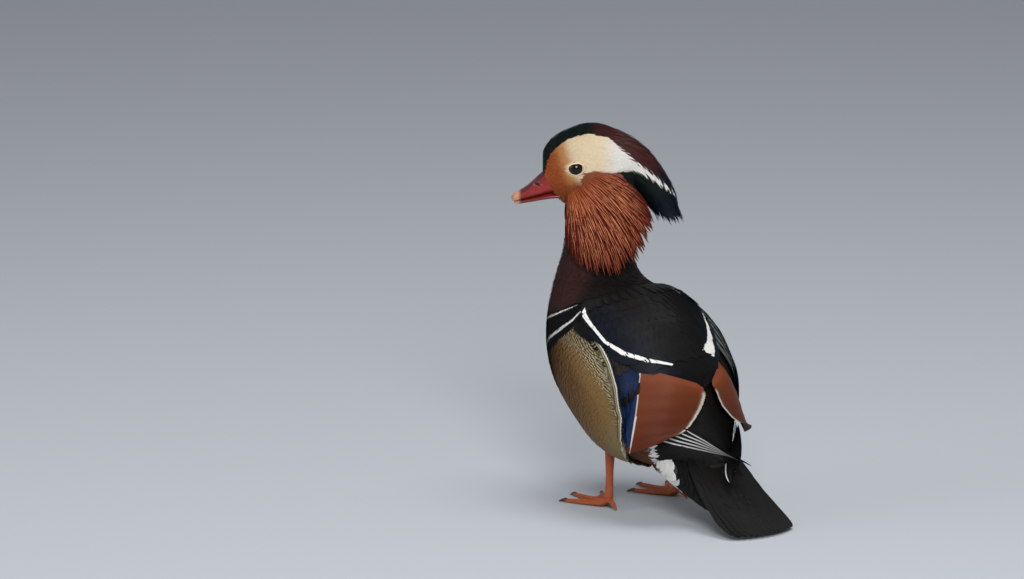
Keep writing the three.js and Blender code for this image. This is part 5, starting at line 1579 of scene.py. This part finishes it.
horn_of_claws = material("claw_horn", claw_horn)
around = np.radians(np.linspace(0, 360, CLAW_POINTS, endpoint=False))
for side, (forward, left, foot_turn) in FEET.items():
    rings, faces = [], []
    for turn, length in TOES:
        way = math.radians(foot_turn + turn)
        faces.append(grid_faces(len(CLAW), CLAW_POINTS, True) + CLAW_POINTS * len(rings))
        for beyond, height, radius in CLAW:
            reach, across = length + beyond, radius * np.cos(around)
            rings.append(at(
                forward + reach * math.cos(way) - across * math.sin(way),
                left + reach * math.sin(way) + across * math.cos(way),
                height + radius * np.sin(around),
            ))
    mesh_piece("claws_" + side, np.array(rings), np.concatenate(faces), horn_of_claws, "leg_skin")


# Floor, lights and camera: a pale matt studio floor, one large soft key light from the camera's side,
# a weaker one from the bird's front and a wide one above, all plain white.
FLOOR_PALE = "#b9bec4"


def pale_floor(tree):
    # Smooth matt studio paint.
    return node(tree, "BsdfPrincipled", {"Base Color": linear(FLOOR_PALE), "Roughness": 0.9})


bpy.ops.mesh.primitive_plane_add(size=24)
floor = bpy.context.object
floor.name = "floor"
floor.data.materials.append(material("pale_floor", pale_floor))
AIM = Vector((0, 0, 0.13))  # where the lights point
LIGHTS = {
    # place in metres, size in metres, power in watts
    "key": ((1.1, 1.5, 1.3), 0.9, 30),
    "fill": ((1.6, -0.9, 0.8), 1.4, 7),
    "top": ((-0.2, 0.1, 2.2), 1.2, 22),
}
for name, (place, size, power) in LIGHTS.items():
    lamp = bpy.data.lights.new(name, "AREA")
    lamp.shape, lamp.energy, lamp.size = "DISK", power, size
    light = bpy.data.objects.new(name, lamp)
    light.location = place
    light.rotation_euler = (AIM - Vector(place)).to_track_quat("-Z", "Y").to_euler()
    bpy.context.collection.objects.link(light)

bpy.context.scene.view_settings.view_transform = "Standard"
SKY_COLOUR, SKY_STRENGTH = (0.92, 0.95, 1, 1), 0.28
world = bpy.data.worlds.new("studio")
world.use_nodes = True
background = world.node_tree.nodes["Background"]
background.inputs["Color"].default_value = SKY_COLOUR
background.inputs["Strength"].default_value = SKY_STRENGTH
bpy.context.scene.world = world

# The photo is taken from the bird's left and a little behind it, slightly above its back.
VIEW_AZIMUTH, VIEW_ELEVATION = math.radians(140), math.radians(12)
VIEW_DISTANCE = 6.144
VIEW_OFFSET = (-0.0958, 0.1537)  # from the bird's middle to the picture's, right and up in the picture
back = Vector((
    math.cos(VIEW_ELEVATION) * math.sin(VIEW_AZIMUTH), -math.cos(VIEW_ELEVATION) * math.cos(VIEW_AZIMUTH),
    math.sin(VIEW_ELEVATION),
))
right = Vector((math.cos(VIEW_AZIMUTH), math.sin(VIEW_AZIMUTH), 0))
above = back.cross(right)
lens = bpy.data.cameras.new("camera")
lens.lens, lens.sensor_width = 300, 36
lens.clip_end = 50
camera = bpy.data.objects.new("camera", lens)
bird = Vector((0, MIDDLE / 1000, 0))
camera.location = bird + VIEW_OFFSET[0] * right + VIEW_OFFSET[1] * above + VIEW_DISTANCE * back
camera.rotation_euler = (-back).to_track_quat("-Z", "Y").to_euler()
bpy.context.collection.objects.link(camera)
bpy.context.scene.camera = camera
